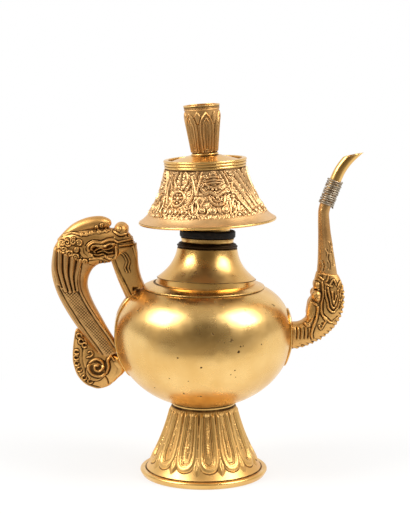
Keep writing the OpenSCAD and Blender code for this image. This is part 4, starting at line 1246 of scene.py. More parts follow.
tube_in = (TUBE_BEND_R - TUBE_WALL, tube_bend_z)
tube_loop = np.vstack([
    tube_side,
    [(TUBE_TOP_R - TUBE_WALL, tube_top)],
    np.linspace(tube_in, (TUBE_FOOT_R - TUBE_WALL, TUBE_COLLAR_H + TUBE_WALL), 20),
    [(SOCKET_R, TUBE_COLLAR_H)],
    np.linspace((SOCKET_R, TUBE_COLLAR_H - 1), (SOCKET_R, -STEM_LEN + 0.5), 14),
    [(SOCKET_R, -STEM_LEN), (STEM_R, -STEM_LEN)],
    np.linspace((STEM_R, -STEM_LEN + 0.5), (STEM_R, -0.3), 14),
    [(STEM_R, 0), (TUBE_FOOT_R, 0)],
    np.linspace((TUBE_FOOT_R, 0.3), (TUBE_FOOT_R, TUBE_COLLAR_H - 0.3), 3),
])
piece("feather_tube", "petals", "feather_holder", brown, tube_loop, AT_TUBE, TUBE_COLUMNS,
      lift=tube_relief(tube_side, TUBE_COLUMNS),
      seams=[(TUBE_TOP_R, tube_top, 0.7), (TUBE_FOOT_R, TUBE_COLLAR_H, 1.6)])

tube_collar_in = TUBE_FOOT_R + SEAM
tube_collar_out = TUBE_FOOT_R + TUBE_COLLAR_W
tube_collar_loop = moulded([
    (tube_collar_in, 0), (tube_collar_out, 0), (tube_collar_out, TUBE_COLLAR_H * 2 / 3),
    (tube_collar_in + TUBE_COLLAR_W / 2, TUBE_COLLAR_H), (tube_collar_in, TUBE_COLLAR_H),
], 0.2, 0.4)
piece("tube_collar", "ring", "feather_holder", polished, tube_collar_loop, AT_TUBE, 200)

rim_low = TUBE_H - TUBE_RIM_H
rim_out = TUBE_TOP_R + TUBE_LIP
rim_edge = TUBE_LIP / 2
tube_rim_loop = moulded([
    (TUBE_TOP_R - TUBE_WALL, rim_low), (rim_out - rim_edge, rim_low), (rim_out, rim_low + rim_edge),
    (rim_out, TUBE_H - rim_edge), (rim_out - rim_edge, TUBE_H), (TUBE_TOP_R - TUBE_WALL, TUBE_H),
], 0.3, 0.4)
piece("tube_rim", "lip", "feather_holder", polished, tube_rim_loop, AT_TUBE, 240, hammer=(0.1, 90.0),
      seams=[(rim_out - 0.2, rim_low, 0.5)])


# Castings, swept through stations [back x, back z, belly x, belly z, half depth] beside the globe

ARM = [
    (-8.6, -14.8, 3.4, -9.0, 6.0), (-16.8, -5.1, -3.3, 1.6, 6.3), (-24.1, 4.6, -8.8, 11.5, 6.6),
    (-31.2, 15.6, -14.6, 22.6, 7.0), (-37.2, 27.3, -17.6, 31.6, 7.5), (-40.6, 38.6, -17.2, 38.3, 8.0),
    (-41.0, 48.1, -14.7, 43.7, 8.5), (-39.4, 58.1, -12.0, 46.3, 8.8),
]
HEAD = [
    (-39.4, 58.1, -12.0, 46.3, 8.8), (-33.8, 65.9, -9.1, 47.7, 9.0), (-23.3, 70.4, -5.4, 48.1, 9.0),
    (-11.8, 70.9, -1.6, 49.3, 8.8), (-0.3, 70.3, 3.2, 52.1, 8.0), (7.7, 68.6, 9.2, 54.6, 6.5),
    (11.9, 63.6, 12.4, 57.6, 4.0),
]
CREST = [
    (-37.3, 63.1, -34.3, 60.6, 3.0), (-28.3, 72.3, -23.8, 65.6, 5.5), (-18.8, 77.0, -15.8, 68.1, 6.0),
    (-9.3, 78.3, -8.8, 69.6, 5.5), (-3.3, 76.3, -4.0, 71.1, 3.5), (-2.0, 73.7, -2.2, 72.4, 1.4),
]
shoulder_edge = np.array([BODY_R - SHOULDER_R, SHOULDER_Z - BODY_Z])
strut_foot = np.array([-6.1, -17.5, 6.9, -10.5, 7.0]) + np.concatenate([shoulder_edge, shoulder_edge, [0]])
STRUT = [
    (-3.4, 52.0, 14.0, 61.0, 6.0), (1.6, 37.6, 15.4, 44.6, 6.6), (6.3, 26.7, 18.8, 33.3, 7.0),
    tuple(strut_foot),
]
TAIL = [
    (-25.6, 4.8, -23.8, 4.2, 1.6), (-27.2, -3.9, -18.5, -1.5, 4.0), (-27.9, -11.9, -9.5, -9.4, 5.6),
    (-27.4, -19.9, 6.0, -14.0, 6.6), (-24.3, -26.9, 6.6, -22.4, 6.6), (-19.3, -32.1, 1.7, -27.4, 6.0),
    (-13.8, -34.7, -3.3, -32.3, 4.6), (-11.3, -35.0, -8.3, -34.7, 1.8),
]
MAKARA = [
    (-5.2, -8.9, -5.2, 9.1, 8.3), (3.8, -8.0, 3.8, 9.1, 8.3), (11.8, -5.3, 8.8, 12.1, 8.2),
    (20.8, -0.4, 9.8, 17.1, 8.2), (28.3, 7.1, 10.6, 22.1, 8.4), (32.8, 16.6, 12.4, 27.1, 8.4),
    (33.8, 25.6, 13.6, 32.1, 8.0), (32.8, 33.6, 14.4, 37.1, 7.2), (29.8, 40.1, 15.6, 42.1, 6.2),
]
BROW = (-53.0, 3.6, 161.3, 4.8)
JAW = [
    (-74.3, 148.2), (-68.7, 152.3), (-61.7, 152.1), (-55.3, 154.1), (-56.4, 146.1), (-63.7, 144.9),
    (-69.7, 143.9),
]
JAW_Y = 6.4
JAW_EDGE = 0.8
SCROLL = (-70.2, 69.2)
SCROLL_R = 6.0
SCROLL_Y = 7.4
SNOUT_EYE = (72.7, 6.6, 119.5, 3.4)
WRAP_START = np.array([20.4, 83.1])
WRAP_END = np.array([28.2, 103.6])
WRAP_LEN = np.linalg.norm(WRAP_END - WRAP_START)
WRAP_WAY = (WRAP_END - WRAP_START) / WRAP_LEN
WRAP_JOINT = (WRAP_START + WRAP_END) / 2
LIP_AT = (34.8, 117.0)
LIP_SLOPE = math.radians(12)
VOXEL = 0.32
FUSE_ROUNDS = 3
FACE_FROM = 0.12
FACE_RUN = 0.4


def beside(side, table, per_step=10):
    """Smooth stations in the part's frame, from a table given beside the globe."""
    return smooth(table, per_step) + np.array([side * BODY_R, BODY_Z, side * BODY_R, BODY_Z, 0])


def round_station(p, r):
    """A station across a round part with its middle at p, square to the wire's run."""
    across = r * np.array([WRAP_WAY[1], -WRAP_WAY[0]])
    return (*(p + across), *(p - across), r)


def sections(stations, squareness, sides):
    """Points of the sections, by station and by side."""
    a = full_turn(sides)
    c = np.sign(np.cos(a)) * np.abs(np.cos(a)) ** (1 / squareness)
    s = np.sign(np.sin(a)) * np.abs(np.sin(a)) ** (1 / squareness)
    middle = (stations[:, :2] + stations[:, 2:4]) / 2
    reach = (stations[:, :2] - stations[:, 2:4]) / 2
    xz = middle[:, None] + reach[:, None] * c[None, :, None]
    y = stations[:, 4:5] * s[None, :]
    return np.stack([xz[..., 0], y, xz[..., 1]], axis=-1)


def loft(side, table, squareness=1.4, sides=64):
    """Closed shell swept through the stations of a table."""
    grid = sections(beside(side, table), squareness, sides)
    return grid.reshape(-1, 3), capped_faces(len(grid), sides)


def ball_pair(x, y, z, r):
    """Two balls, one on each face of a casting."""
    rows, columns = 18, 28
    a = np.linspace(0.1, math.pi - 0.1, rows)[:, None]
    b = full_turn(columns)
    grid = np.stack(np.broadcast_arrays(np.sin(a) * np.cos(b), np.sin(a) * np.sin(b), np.cos(a)), axis=-1)
    faces = capped_faces(rows, columns)
    return [((grid * r + np.array([x, side * y, z])).reshape(-1, 3), faces) for side in (-1, 1)]


def drum(centre, r, half_depth):
    """Short cylinder across the plane of the handle."""
    columns = 40
    b = full_turn(columns)
    x, z = centre[0] + r * np.cos(b), centre[1] + r * np.sin(b)
    grid = np.array([np.stack([x, np.full(columns, y), z], axis=1) for y in (-half_depth, 0, half_depth)])
    return grid.reshape(-1, 3), capped_faces(3, columns)


def fused(shells):
    """Overlapping closed shells made into one even mesh, in millimetres."""
    mesh = bpy.data.meshes.new("shells")
    points, faces = [], []
    for shell_points, shell_faces in shells:
        base = sum(len(p) for p in points)
        single = bpy.data.meshes.new("shell")
        single.from_pydata(shell_points, [], shell_faces)
        turn_outwards(single)
        faces += [[base + i for i in polygon.vertices] for polygon in single.polygons]
        points.append(shell_points)
        bpy.data.meshes.remove(single)
    mesh.from_pydata(np.vstack(points), [], faces)
    obj = linked("shells", mesh)
    remesh = obj.modifiers.new("fuse", "REMESH")
    remesh.mode = "VOXEL"
    remesh.voxel_size = VOXEL
    even = bpy.data.meshes.new_from_object(obj.evaluated_get(bpy.context.evaluated_depsgraph_get()))
    bpy.data.objects.remove(obj)
    bpy.data.meshes.remove(mesh)
    move_to(even, relaxed(even, FUSE_ROUNDS))
    return even


def off_globe(points, grow=PLATE + 2 * SEAM):
    """Points inside the globe moved out to its surface."""
    x, y, z = points.T
    side = globe_at(y, np.clip(z, BODY_Z - BOWL_H + 1, BODY_Z + DOME_H - 1), grow)
    inside = np.abs(x) < side
    points[inside, 0] = np.sign(x[inside]) * side[inside]
    return points


def casting(node, material, shells, draw, recess=None, spines=None, seated=True):
    """Fused shells with a drawing raised on their front and back faces, seated on the globe."""
    mesh = fused(shells)
    points = positions(mesh)
    if recess:
        points = recess(points)
        move_to(mesh, points)
    out = normals(mesh)
    relief = Relief(points[:, [0, 2]])
    draw(relief)
    move = relief.height * ramp(np.abs(out[:, 1]), FACE_FROM, FACE_RUN)
    if spines:
        move = move + spines(points, out)
    move_to(mesh, points + out * move[:, None])
    points = off_globe(positions(mesh)) if seated else positions(mesh)
    move_to(mesh, points * MM)
    mesh.name = f"{node}_casting"
    turn_outwards(mesh)
    mesh.shade_smooth()
    obj = linked(f"{node}_casting", mesh)
    # Deep, broad hollows: patina together with painted shade in the recessed fields
    mark_hollows(obj, CAST_PATINA_SHADE_DEPTH, CAST_PATINA_SHADE_ROUNDS)
    dress(obj, node, "vase", material)


# Handle: arm

OUTER_RIM = [(-95.8, 134.5), (-94.2, 126.2), (-89.7, 116.3), (-85.1, 108.3), (-79.7, 99.6), (-73.6, 90.8),
             (-68.2, 83.2), (-64.7, 77.6)]
INNER_RIDGE = [(-79.3, 137.6), (-80.3, 131.3), (-79.8, 123.4), (-76.4, 115.5), (-71.8, 107.5), (-67.2, 100.4),
               (-63, 94.4), (-57.2, 85.2)]
ROPES = [
    [(-95, 149.5), (-95.7, 138.6), (-94.5, 132.1), (-93.6, 127)],
    [(-92.4, 148), (-92.4, 136.8), (-90.8, 129.3), (-88.7, 122.8)],
    [(-88.3, 146.4), (-88.5, 135.8), (-87.6, 129.3), (-85.7, 122.4)],
    [(-83.6, 144.6), (-84.8, 134), (-84.3, 128.4), (-83.3, 122.6)],
    [(-79, 142.6), (-81.6, 132.1), (-81.9, 127.4), (-81.3, 123.5)],
]
SCALE_PITCH = 2.0
SCALES_FROM = 78
SCALES_TO = 126.5


def draw_arm(relief):
    """Thin raised rim and ridge, rows of scales between them, and long ropes of hair at the top."""
    relief.height = 0.3 * scaled_share(relief.points) * scales(relief.points, SCALE_PITCH)
    relief.ridge(OUTER_RIM, 0.9, 1.0)
    relief.groove(shifted(OUTER_RIM, 1.5, 0.8), 0.8, 0.7)
    relief.ridge(INNER_RIDGE, 0.8, 1.1)
    for by in (-1.3, 1.3):
        relief.groove(shifted(INNER_RIDGE, by, by / 2), 0.7, 0.6)
    for rope in ROPES:
        relief.ridge(rope, 1.7, 1.1)
        relief.boss(rope[-1], 1.2, 0.9)
    for left, right in zip(ROPES, ROPES[1:]):
        relief.groove([((a[0] + b[0]) / 2, (a[1] + b[1]) / 2) for a, b in zip(left, right)], 0.75, 1.0)


def scales(points, pitch):
    """Rows of small diamonds over points of the plane."""
    u = (points[:, 0] + points[:, 1]) * math.pi / pitch
    v = (points[:, 0] - points[:, 1]) * math.pi / pitch
    return np.abs(np.sin(u) * np.sin(v))


def scaled_share(points):
    """1 on the scaled field between the arm's rim and its ridge."""
    x, z = points.T
    rim = np.array(OUTER_RIM)[::-1]
    ridge = np.array(INNER_RIDGE)[::-1]
    left = np.interp(z, rim[:, 1], rim[:, 0]) + 1.4
    right = np.interp(z, ridge[:, 1], ridge[:, 0]) - 1.2
    inside = ramp(x, left, 0.6) * np.clip((right - x) / 0.6, 0, 1)
    return inside * np.clip((SCALES_TO - z) / 3.0, 0, 1) * ramp(z, SCALES_FROM, 3.0)


casting("handle_arm", brown, [loft(-1, ARM)], draw_arm)


# Handle: head

CURLS = [
    (-87.1, 154, 2.6), (-83.2, 154.9, 2.2), (-79.6, 153.9, 2), (-89.4, 149.6, 2.2), (-85.5, 147, 2.6),
    (-82.3, 144.9, 2.2), (-85.2, 142.5, 1.9), (-79.6, 141.8, 1.9), (-76, 141.8, 1.7), (-92.6, 147.7, 1.7),
    (-90.5, 153.7, 1.7), (-81.2, 149.4, 1.6),
]
CREST_CURLS = [
    (-62.2, 161.4, 1.5), (-65.3, 164.7, 1.3), (-68.4, 163.2, 1.3), (-66.8, 160.8, 1.1), (-71.7, 160.5, 1.2),
    (-74.9, 159.6, 1.1), (-78.2, 159.4, 1),
]
BEARD = [((-65.9, 141.9), (-66.2, 138.6)), ((-63.6, 141.4), (-63.6, 137.7)), ((-61.6, 141.4), (-61.4, 138.2))]
CREST_GROOVE = [
    (-60.1, 162.8), (-63.6, 159.3), (-70.1, 158.4), (-77.4, 157.1), (-83.9, 158), (-89.4, 156.1),
    (-93.1, 151.7),
]
CREST_EDGE = [(-60.4, 164.8), (-64, 160.9), (-70.1, 160.2), (-77.4, 159), (-84.4, 160), (-90.2, 158)]
UPPER_LIP = [
    (-71, 146.3), (-73.9, 149.6), (-73.5, 152.1), (-70.1, 154.3), (-65.5, 154), (-61.8, 155.4),
    (-58.1, 155.8), (-55.1, 154.3),
]
LIP_GROOVE = [(-75.6, 148.6), (-75.4, 152.8), (-71, 156), (-65.6, 155.7), (-61.6, 157.1), (-57.6, 157.6)]
GUM = [
    (-69.5, 147.4), (-71.9, 150.2), (-70.8, 152.1), (-67.7, 152.5), (-63.6, 152), (-59.9, 153.4),
    (-56.6, 153),
]
LOWER_LIP = [
    (-71, 146.3), (-67.3, 145.9), (-64.5, 146.5), (-61.8, 144.2), (-58.1, 143.6), (-56.1, 146.1),
    (-55.7, 149.8),
]
SNOUT_WHISKERS = [
    [(-55, 154.3), (-50.7, 155.2), (-44.6, 156.3)], [(-53.5, 152), (-49.3, 152.5), (-44.1, 152.7)],
]


def draw_head(relief):
    """Crest with curls, brow and eye, snout, open jaw with its tongue, beard and a curled mane."""
    relief.groove(CREST_GROOVE, 1.0, 1.2)
    relief.ridge(CREST_EDGE, 0.9, 0.7)
    for k, (x, z, r) in enumerate(CREST_CURLS):
        relief.ridge(spiral((x, z), r, 40 * k, 1.2), 0.6, 0.95)
    relief.ridge([(-58.3, 164.2), (-56.4, 168.2), (-52.8, 169.1), (-49.4, 166.4), (-48.3, 162.8)], 1.0, 0.9)
    relief.groove([(-57, 163.4), (-55.4, 166.4), (-52.7, 167.2), (-50.2, 165.2)], 0.7, 0.7)
    relief.ridge([(-57.4, 161.1), (-53.5, 159.3), (-49.6, 159.8)], 0.9, 0.9)
    relief.pit((-50.9, 161.9), 1.7, 1.6)
    relief.boss((-54.2, 163), 1.7, 1.0)
    relief.pit((-48.1, 158.5), 1.8, 1.4)
    relief.ridge([(-45.9, 161.1), (-45.4, 158.6), (-46.5, 156.3)], 0.8, 0.9)
    relief.ridge(UPPER_LIP, 1.0, 1.3)
    relief.groove(LIP_GROOVE, 0.7, 0.8)
    relief.ridge(GUM, 0.75, 1.6)
    relief.ridge([(-70.1, 148.7), (-66.4, 150.5), (-62.7, 149.6), (-59, 150.7), (-57.2, 152.1)], 0.95, 2.2)
    relief.ridge([(-68, 147.7), (-64.5, 148.7), (-61.3, 147.5), (-58.1, 147.9)], 0.7, 1.9)
    relief.ridge(LOWER_LIP, 0.95, 1.4)
    relief.ridge([(-73, 143.3), (-67.8, 143.8), (-63.6, 143.1), (-60.4, 141.6)], 0.8, 1.0)
    relief.ridge(spiral((-56.2, 151.4), 1.5, 60, 1.1), 0.6, 1.4)
    for whisker in SNOUT_WHISKERS:
        relief.ridge(whisker, 0.75, 1.0)
        relief.groove(shifted(whisker, 0, -1.2), 0.6, 0.7)
    for hair in BEARD:
        relief.ridge(list(hair), 0.7, 0.8)
    relief.ridge([(-78.4, 150.4), (-77.8, 147), (-75.6, 144.8)], 1.4, 0.5)
    for rope in ROPES:
        relief.ridge(rope[:2], 1.7, 1.1)
    for k, (x, z, r) in enumerate(CURLS):
        relief.groove(ring((x, z), r + 0.5), 0.6, 0.5)
        relief.ridge(spiral((x, z), r, 70 * k, 1.4, 1 if k % 2 else -1), 0.85, 1.35)


def open_jaw(points):
    """Sinks the mouth into both faces of the head."""
    share = np.clip(inside_of(points[:, [0, 2]], np.array(JAW, float)) / JAW_EDGE, 0, 1)
    depth = np.abs(points[:, 1])
    sunk = np.where(depth > JAW_Y, depth + share * (JAW_Y - depth), depth)
    points[:, 1] = np.sign(points[:, 1]) * sunk
    return points


head_shells = [loft(-1, HEAD), loft(-1, CREST, 1.1, 40), *ball_pair(*BROW)]
casting("handle_head", cast, head_shells, draw_head, recess=open_jaw, seated=False)


# Handle: strut

STRUT_WAVE = [(-54.9, 151.7), (-53.5, 147.9), (-50.9, 145.1), (-49.4, 141.4), (-50.4, 137.7), (-49.4, 134.9)]


def draw_strut(relief):
    """Bevelled strip with a sunken middle and a wavy engraved line."""
    relief.groove([(-52.6, 146), (-49.4, 138), (-46.2, 130), (-43.2, 122)], 3.6, 1.1)
    relief.ridge([(-58.6, 143), (-55.4, 134.8), (-50.8, 125.4), (-47.4, 118.2)], 1.6, 1.0)
    relief.ridge([(-44.6, 150.6), (-42.6, 143.1), (-40.4, 134.5), (-38.6, 126.4)], 1.2, 0.8)
    for by in (0, 1.9):
        relief.ridge(shifted(STRUT_WAVE, by), 0.55, 0.7)


casting("handle_strut", cast, [loft(-1, STRUT, 2.0)], draw_strut)


# Handle: tail

TAIL_SPIRAL = [
    (-59, 80.7), (-62.1, 76.8), (-61.8, 72.5), (-63.6, 68.2), (-67.8, 66.4), (-72.4, 67.9), (-74.6, 72.1),
    (-72.8, 75.9), (-69.1, 77.4), (-65.8, 75.5), (-65.3, 72.1), (-67.7, 69.7), (-70.4, 70.7), (-70.5, 73.1),
    (-68.6, 73.6),
]
EDGE_CURLS = [
    (-80.6, 92.1), (-79.5, 88.7), (-77.2, 86.3), (-82.3, 81.8), (-82.5, 78.1), (-82.1, 74.4), (-80.6, 70.5),
    (-77.4, 65.1), (-73.6, 62.9),
]


def draw_tail(relief):
    """Scrolled tail with a cuff, a smooth bulb, and pierced curls along its edge."""
    relief.groove(TAIL_SPIRAL, 1.9, 0.7)
    relief.ridge(TAIL_SPIRAL, 1.25, 1.5)
    relief.ridge([(-65, 81), (-60.6, 79.4), (-58, 76.6)], 0.8, 0.9)
    relief.ridge([(-74.7, 81.8), (-73, 82.4), (-71.9, 80.7), (-73, 79.2), (-75.4, 78.6)], 0.7, 1.1)
    for k, (x, z) in enumerate(EDGE_CURLS):
        relief.pit((x, z), 1.0, 1.4)
        relief.ridge(arc((x, z), 1.5, 20 + 10 * k, 290 + 10 * k, 14), 0.75, 1.2)
    relief.groove([(-61.7, 61.1), (-62.5, 64.3), (-64.4, 66.8)], 0.7, 0.7)
    relief.ridge([(-55.7, 75.6), (-53.4, 71.6), (-54.4, 66.8), (-58, 63)], 3.0, 0.7)
    relief.ridge([(-82.8, 95), (-84.4, 86), (-84.6, 77), (-81.6, 66.4), (-76, 60.6), (-68, 58.2)], 0.7, 0.7)
    relief.groove([(-77.6, 92), (-78.4, 84), (-78.6, 76), (-76.4, 69)], 1.6, 0.35)


casting("handle_tail", cast, [loft(-1, TAIL), drum(SCROLL, SCROLL_R, SCROLL_Y)], draw_tail)


# Spout: makara at its root

UNDERSIDE = [(91.3, 123.1), (91, 114.2), (89.3, 104.4), (84.6, 96.3), (75.9, 89.1), (60, 83.7)]
LIPS = [
    [(76.2, 128.1), (76.7, 123.8), (76.9, 119.4), (76, 115.1), (75.9, 110.2), (76.7, 106.9), (79.4, 104.2),
     (82.1, 102), (84.8, 103.7), (86.9, 105.3)],
    [(78.3, 122.7), (78.6, 119.4), (79.9, 115.1), (80.4, 111.8), (82.6, 109.1), (84.8, 109.6), (86.4, 112.4),
     (87.2, 116.2)],
    [(79.9, 124.9), (80.4, 121.6), (81.5, 117.2), (82.1, 114), (83.4, 111.5), (85, 112.9), (85.8, 116.2),
     (86.4, 119.4), (86.4, 122.7)],
    [(82.9, 121.6), (83.1, 117.2), (83.8, 114.3), (84.5, 116.7), (85.3, 119.4)],
]
WHISKERS = [
    [(74.8, 134.6), (77.5, 133)], [(74.2, 131.9), (76.9, 129.7)], [(78.8, 126.8), (82.6, 125.4)],
    [(81, 125.9), (83.4, 129.7), (85.3, 126.5)], [(80.4, 133), (79.9, 130.3), (79.1, 128.7)],
]
TUFTS = [
    [(86.4, 124.9), (87.7, 128.1)], [(88.5, 121.6), (89.3, 125.4)], [(88.5, 116.2), (89.6, 119.4)],
    [(88, 110.7), (89.3, 114)],
]
LEG = [(71.8, 114), (73.7, 112.4), (73.2, 106.9), (72.3, 103.1), (70.7, 98.8), (69.6, 94.4), (70.2, 91.7)]
SHIN = [(70.2, 109.1), (70.3, 104.8), (68.6, 101.5), (65.9, 100.4)]
TOES = [(65.6, 101), (67, 99.6), (68.3, 100.1)]
LEAF = [(77.7, 104.8), (78.9, 103.1), (77.2, 99.9), (75.6, 97.7), (74.4, 99.9)]
FOLDS = (59.9, 62.1, 64.8, 67.2)


def draw_makara(relief):
    """Small beast with a folded leg and the lips of its open mouth, whiskers, tufts and scales."""
    relief.ridge([(68.5, 114.5), (68.2, 110.7), (68.1, 106.9)], 4.4, 1.4)
    relief.groove([(71.2, 116.4), (72, 118.6), (75.4, 121)], 1.6, 1.5)
    relief.boss((74, 117.2), 2.2, 1.1)
    relief.boss((72.6, 125.9), 2.6, 1.4)
    for dot in ((74, 125.4), (74, 123.2)):
        relief.boss(dot, 0.8, 1.0)
    relief.groove([(75.2, 128), (75.4, 122), (75.2, 115), (74.8, 110)], 0.9, 1.4)
    relief.ridge(LEG, 1.1, 1.1)
    relief.groove(shifted(LEG, 1.7, -0.6), 1.0, 1.1)
    relief.ridge(SHIN, 0.9, 1.0)
    for toe in TOES:
        relief.boss(toe, 0.9, 1.0)
    for lip in LIPS:
        relief.ridge(lip, 0.8, 1.1)
        relief.groove(shifted(lip, 1.1, 0.5), 0.55, 0.7)
    for stroke in WHISKERS + TUFTS:
        relief.ridge(stroke, 0.8, 1.0)
    relief.ridge(LEAF, 0.7, 0.9)
    relief.pit((76.6, 101.4), 1.2, 0.9)
    for x in FOLDS:
        relief.groove([(x, 98.4), (x + 0.3, 95), (x, 91.6)], 0.8, 0.8)
    under = smooth(UNDERSIDE, 3)
    for p, ahead in zip(under, under[1:]):
        way = (ahead - p) / np.linalg.norm(ahead - p)
        across = np.array([-way[1], way[0]])
        for row in (0.0, 3.0):
            spot = p + across * row + way * row / 2
            relief.ridge([spot + across * 1.5, spot - way * 1.5, spot - across * 1.5], 0.65, 0.9)


def spout_spines(points, out):
    """Lumpy edge along the makara's underside."""
    away = distance(points[:, [0, 2]], smooth(UNDERSIDE, 8))
    down = np.clip(out[:, 0] * 0.8 - out[:, 2] * 0.6, 0, 1)
    along = points[:, 0] * 0.7 + points[:, 2]
    return 0.5 * np.sin(along * 2 * math.pi / 3.4) * down * np.clip(1 - away / 6, 0, 1)


casting("spout_makara", cast, [loft(1, MAKARA), *ball_pair(*SNOUT_EYE)], draw_makara, spines=spout_spines)

# Spout: tube, tip and binding wire

TUBE = [
    (29.3, 40.2, 16.0, 42.05, 5.8), (27.4, 51.1, 16.5, 51.6, 5.3), (25.1, 65.1, 16.6, 65.1, 4.3),
    (23.9, 75.0, 16.4, 75.9, 3.8), round_station(WRAP_START, SPOUT_R), round_station(WRAP_JOINT, SPOUT_R),
]
TIP = [
    round_station(WRAP_JOINT, SPOUT_R), round_station(WRAP_END, SPOUT_R), (34.1, 107.3, 28.1, 111.3, 3.6),
    (38.0, 112.5, 32.9, 117.3, 3.5), (43.1, 117.5, 38.5, 122.7, 3.4), (48.0, 121.4, 43.6, 126.8, 3.3),
]


def drawn_in(stations, wall):
    """Stations of a pipe's bore, a wall inside those of its outside."""
    middle = (stations[:, :2] + stations[:, 2:4]) / 2
    reach = (stations[:, :2] - stations[:, 2:4]) / 2
    reach = reach * (1 - wall / np.linalg.norm(reach, axis=1))[:, None]
    return np.concatenate([middle + reach, middle - reach, stations[:, 4:] - wall], axis=1)


def cut_short(grid, at, slope):
    """Each line of a swept grid ended where it meets a slanting plane, with its rows spread again."""
    rows, sides, _ = grid.shape
    level = (grid[..., 2] - at[1]) - (grid[..., 0] - at[0]) * math.tan(slope)
    out = np.empty_like(grid)
    for k in range(sides):
        over = np.flatnonzero(level[:, k] > 0)
        end = rows - 1
        if len(over):
            i = over[0]
            end = i - level[i, k] / (level[i, k] - level[i - 1, k])
        t = np.linspace(0, end, rows)
        for axis in range(3):
            out[:, k, axis] = np.interp(t, np.arange(rows), grid[:, k, axis])
    return out


def pipe(node, material, outer, inner):
    """Tube with a bore, from two grids of the same size."""
    rows, sides, _ = outer.shape
    loops = np.concatenate([outer, inner[::-1]])
    obj = make_object(f"{node}_skin", loops.reshape(-1, 3), grid_faces(2 * rows, sides, True))
    mark_hollows(obj)
    dress(obj, node, "vase", material)


def engraved(grid, draw):
    """Grid of a pipe's outside with a drawing raised on its front and back."""
    out = grid - grid.mean(axis=1, keepdims=True)
    out = out / np.linalg.norm(out, axis=2, keepdims=True)
    relief = Relief(grid.reshape(-1, 3)[:, [0, 2]])
    draw(relief)
    facing = ramp(np.abs(out[..., 1]), FACE_FROM, FACE_RUN)
    return grid + out * (relief.height.reshape(facing.shape) * facing)[..., None]


SPOUT_EDGE = [(76.9, 174), (77.5, 164.5), (78.3, 153.7), (79.6, 144.5), (80.4, 138)]
SPOUT_SCROLLS = [
    [(78.2, 149.3), (79.6, 146.4), (79.2, 143), (80.6, 140.4), (80.4, 136.4)],
    [(82.4, 158), (83, 152.6), (82.4, 148), (83.6, 143.4), (83.2, 138.6)],
    [(80.6, 153.4), (81.6, 150.4), (81, 147)], [(75.6, 141.6), (76.6, 138.4), (76, 135.6)],
]
PIPE_SQUARENESS = 1.1


def draw_spout(relief):
    """Lengthwise edge between two flats, and a scroll that fades upwards."""
    relief.groove(SPOUT_EDGE, 1.0, 0.5)
    relief.ridge(shifted(SPOUT_EDGE, -1.3), 1.2, 0.35)
    for scroll in SPOUT_SCROLLS:
        relief.ridge(scroll, 0.7, 0.5)
        relief.groove(shifted(scroll, 0.9), 0.6, 0.5)


def pipe_grids(table, per_step, sides):
    """Grids of a pipe's outside and of its bore."""
    stations = beside(1, table, per_step)
    return [sections(s, PIPE_SQUARENESS, sides) for s in (stations, drawn_in(stations, SPOUT_WALL))]


tube_outside, tube_inside = pipe_grids(TUBE, 40, 112)
pipe("spout_tube", brown, engraved(tube_outside, draw_spout), tube_inside)

lip = (LIP_AT[0] + BODY_R, LIP_AT[1] + BODY_Z)
pipe("spout_tip", polished, *[cut_short(grid, lip, LIP_SLOPE) for grid in pipe_grids(TIP, 14, 56)])


# Unevenness of the winding along the spout and out from it: height, rate and phase of its waves
WIRE_DRIFT = ((0.12, 0.37, 0.6), (0.06, 0.91, 0))
WIRE_SLACK = ((0.1, 0.53, 0), (0.06, 1.31, 1))


def with_waves(values, turn, waves):
    for height, rate, phase in waves:
        values = values + height * np.sin(turn * rate + phase)
    return values


def binding_wire():
    """One wire wound on the straight run, a little uneven, with short straight ends."""
    per_turn, sides = 40, 10
    a = 2 * math.pi * np.arange(WIRE_TURNS * per_turn + 1) / per_turn
    along = (WRAP_LEN - WIRE_TURNS * WIRE_PITCH) / 2 + WIRE_PITCH * a / (2 * math.pi)
    along = with_waves(along, a, WIRE_DRIFT)
    coil = with_waves(SPOUT_R + WIRE_D / 2 + WIRE_PLAY, a, WIRE_SLACK)
    axis = np.array([WRAP_WAY[0], 0, WRAP_WAY[1]])
    side = np.array([WRAP_WAY[1], 0, -WRAP_WAY[0]])
    out = np.cos(a)[:, None] * side + np.sin(a)[:, None] * np.array([0, 1, 0])
    origin = np.array([BODY_R + WRAP_START[0], 0, BODY_Z + WRAP_START[1]])
    path = origin + along[:, None] * axis + coil[:, None] * out
    way = np.gradient(path, axis=0)
    way /= np.linalg.norm(way, axis=1)[:, None]
    path = np.vstack([path[:1] - way[:1] * WIRE_D, path, path[-1:] + way[-1:] * WIRE_D])
    out, way = (np.vstack([v[:1], v, v[-1:]]) for v in (out, way))
    up = np.cross(way, out)
    b = full_turn(sides)
    section = np.cos(b)[None, :, None] * out[:, None] + np.sin(b)[None, :, None] * up[:, None]
    grid = path[:, None] + WIRE_D / 2 * section
    return make_object("spout_binding_wire", grid.reshape(-1, 3), capped_faces(len(path), sides))


dress(binding_wire(), "spout_binding", "vase", wire_look)


# Stage: a table and a wall that read white, the darker room that the brass mirrors, and two softboxes

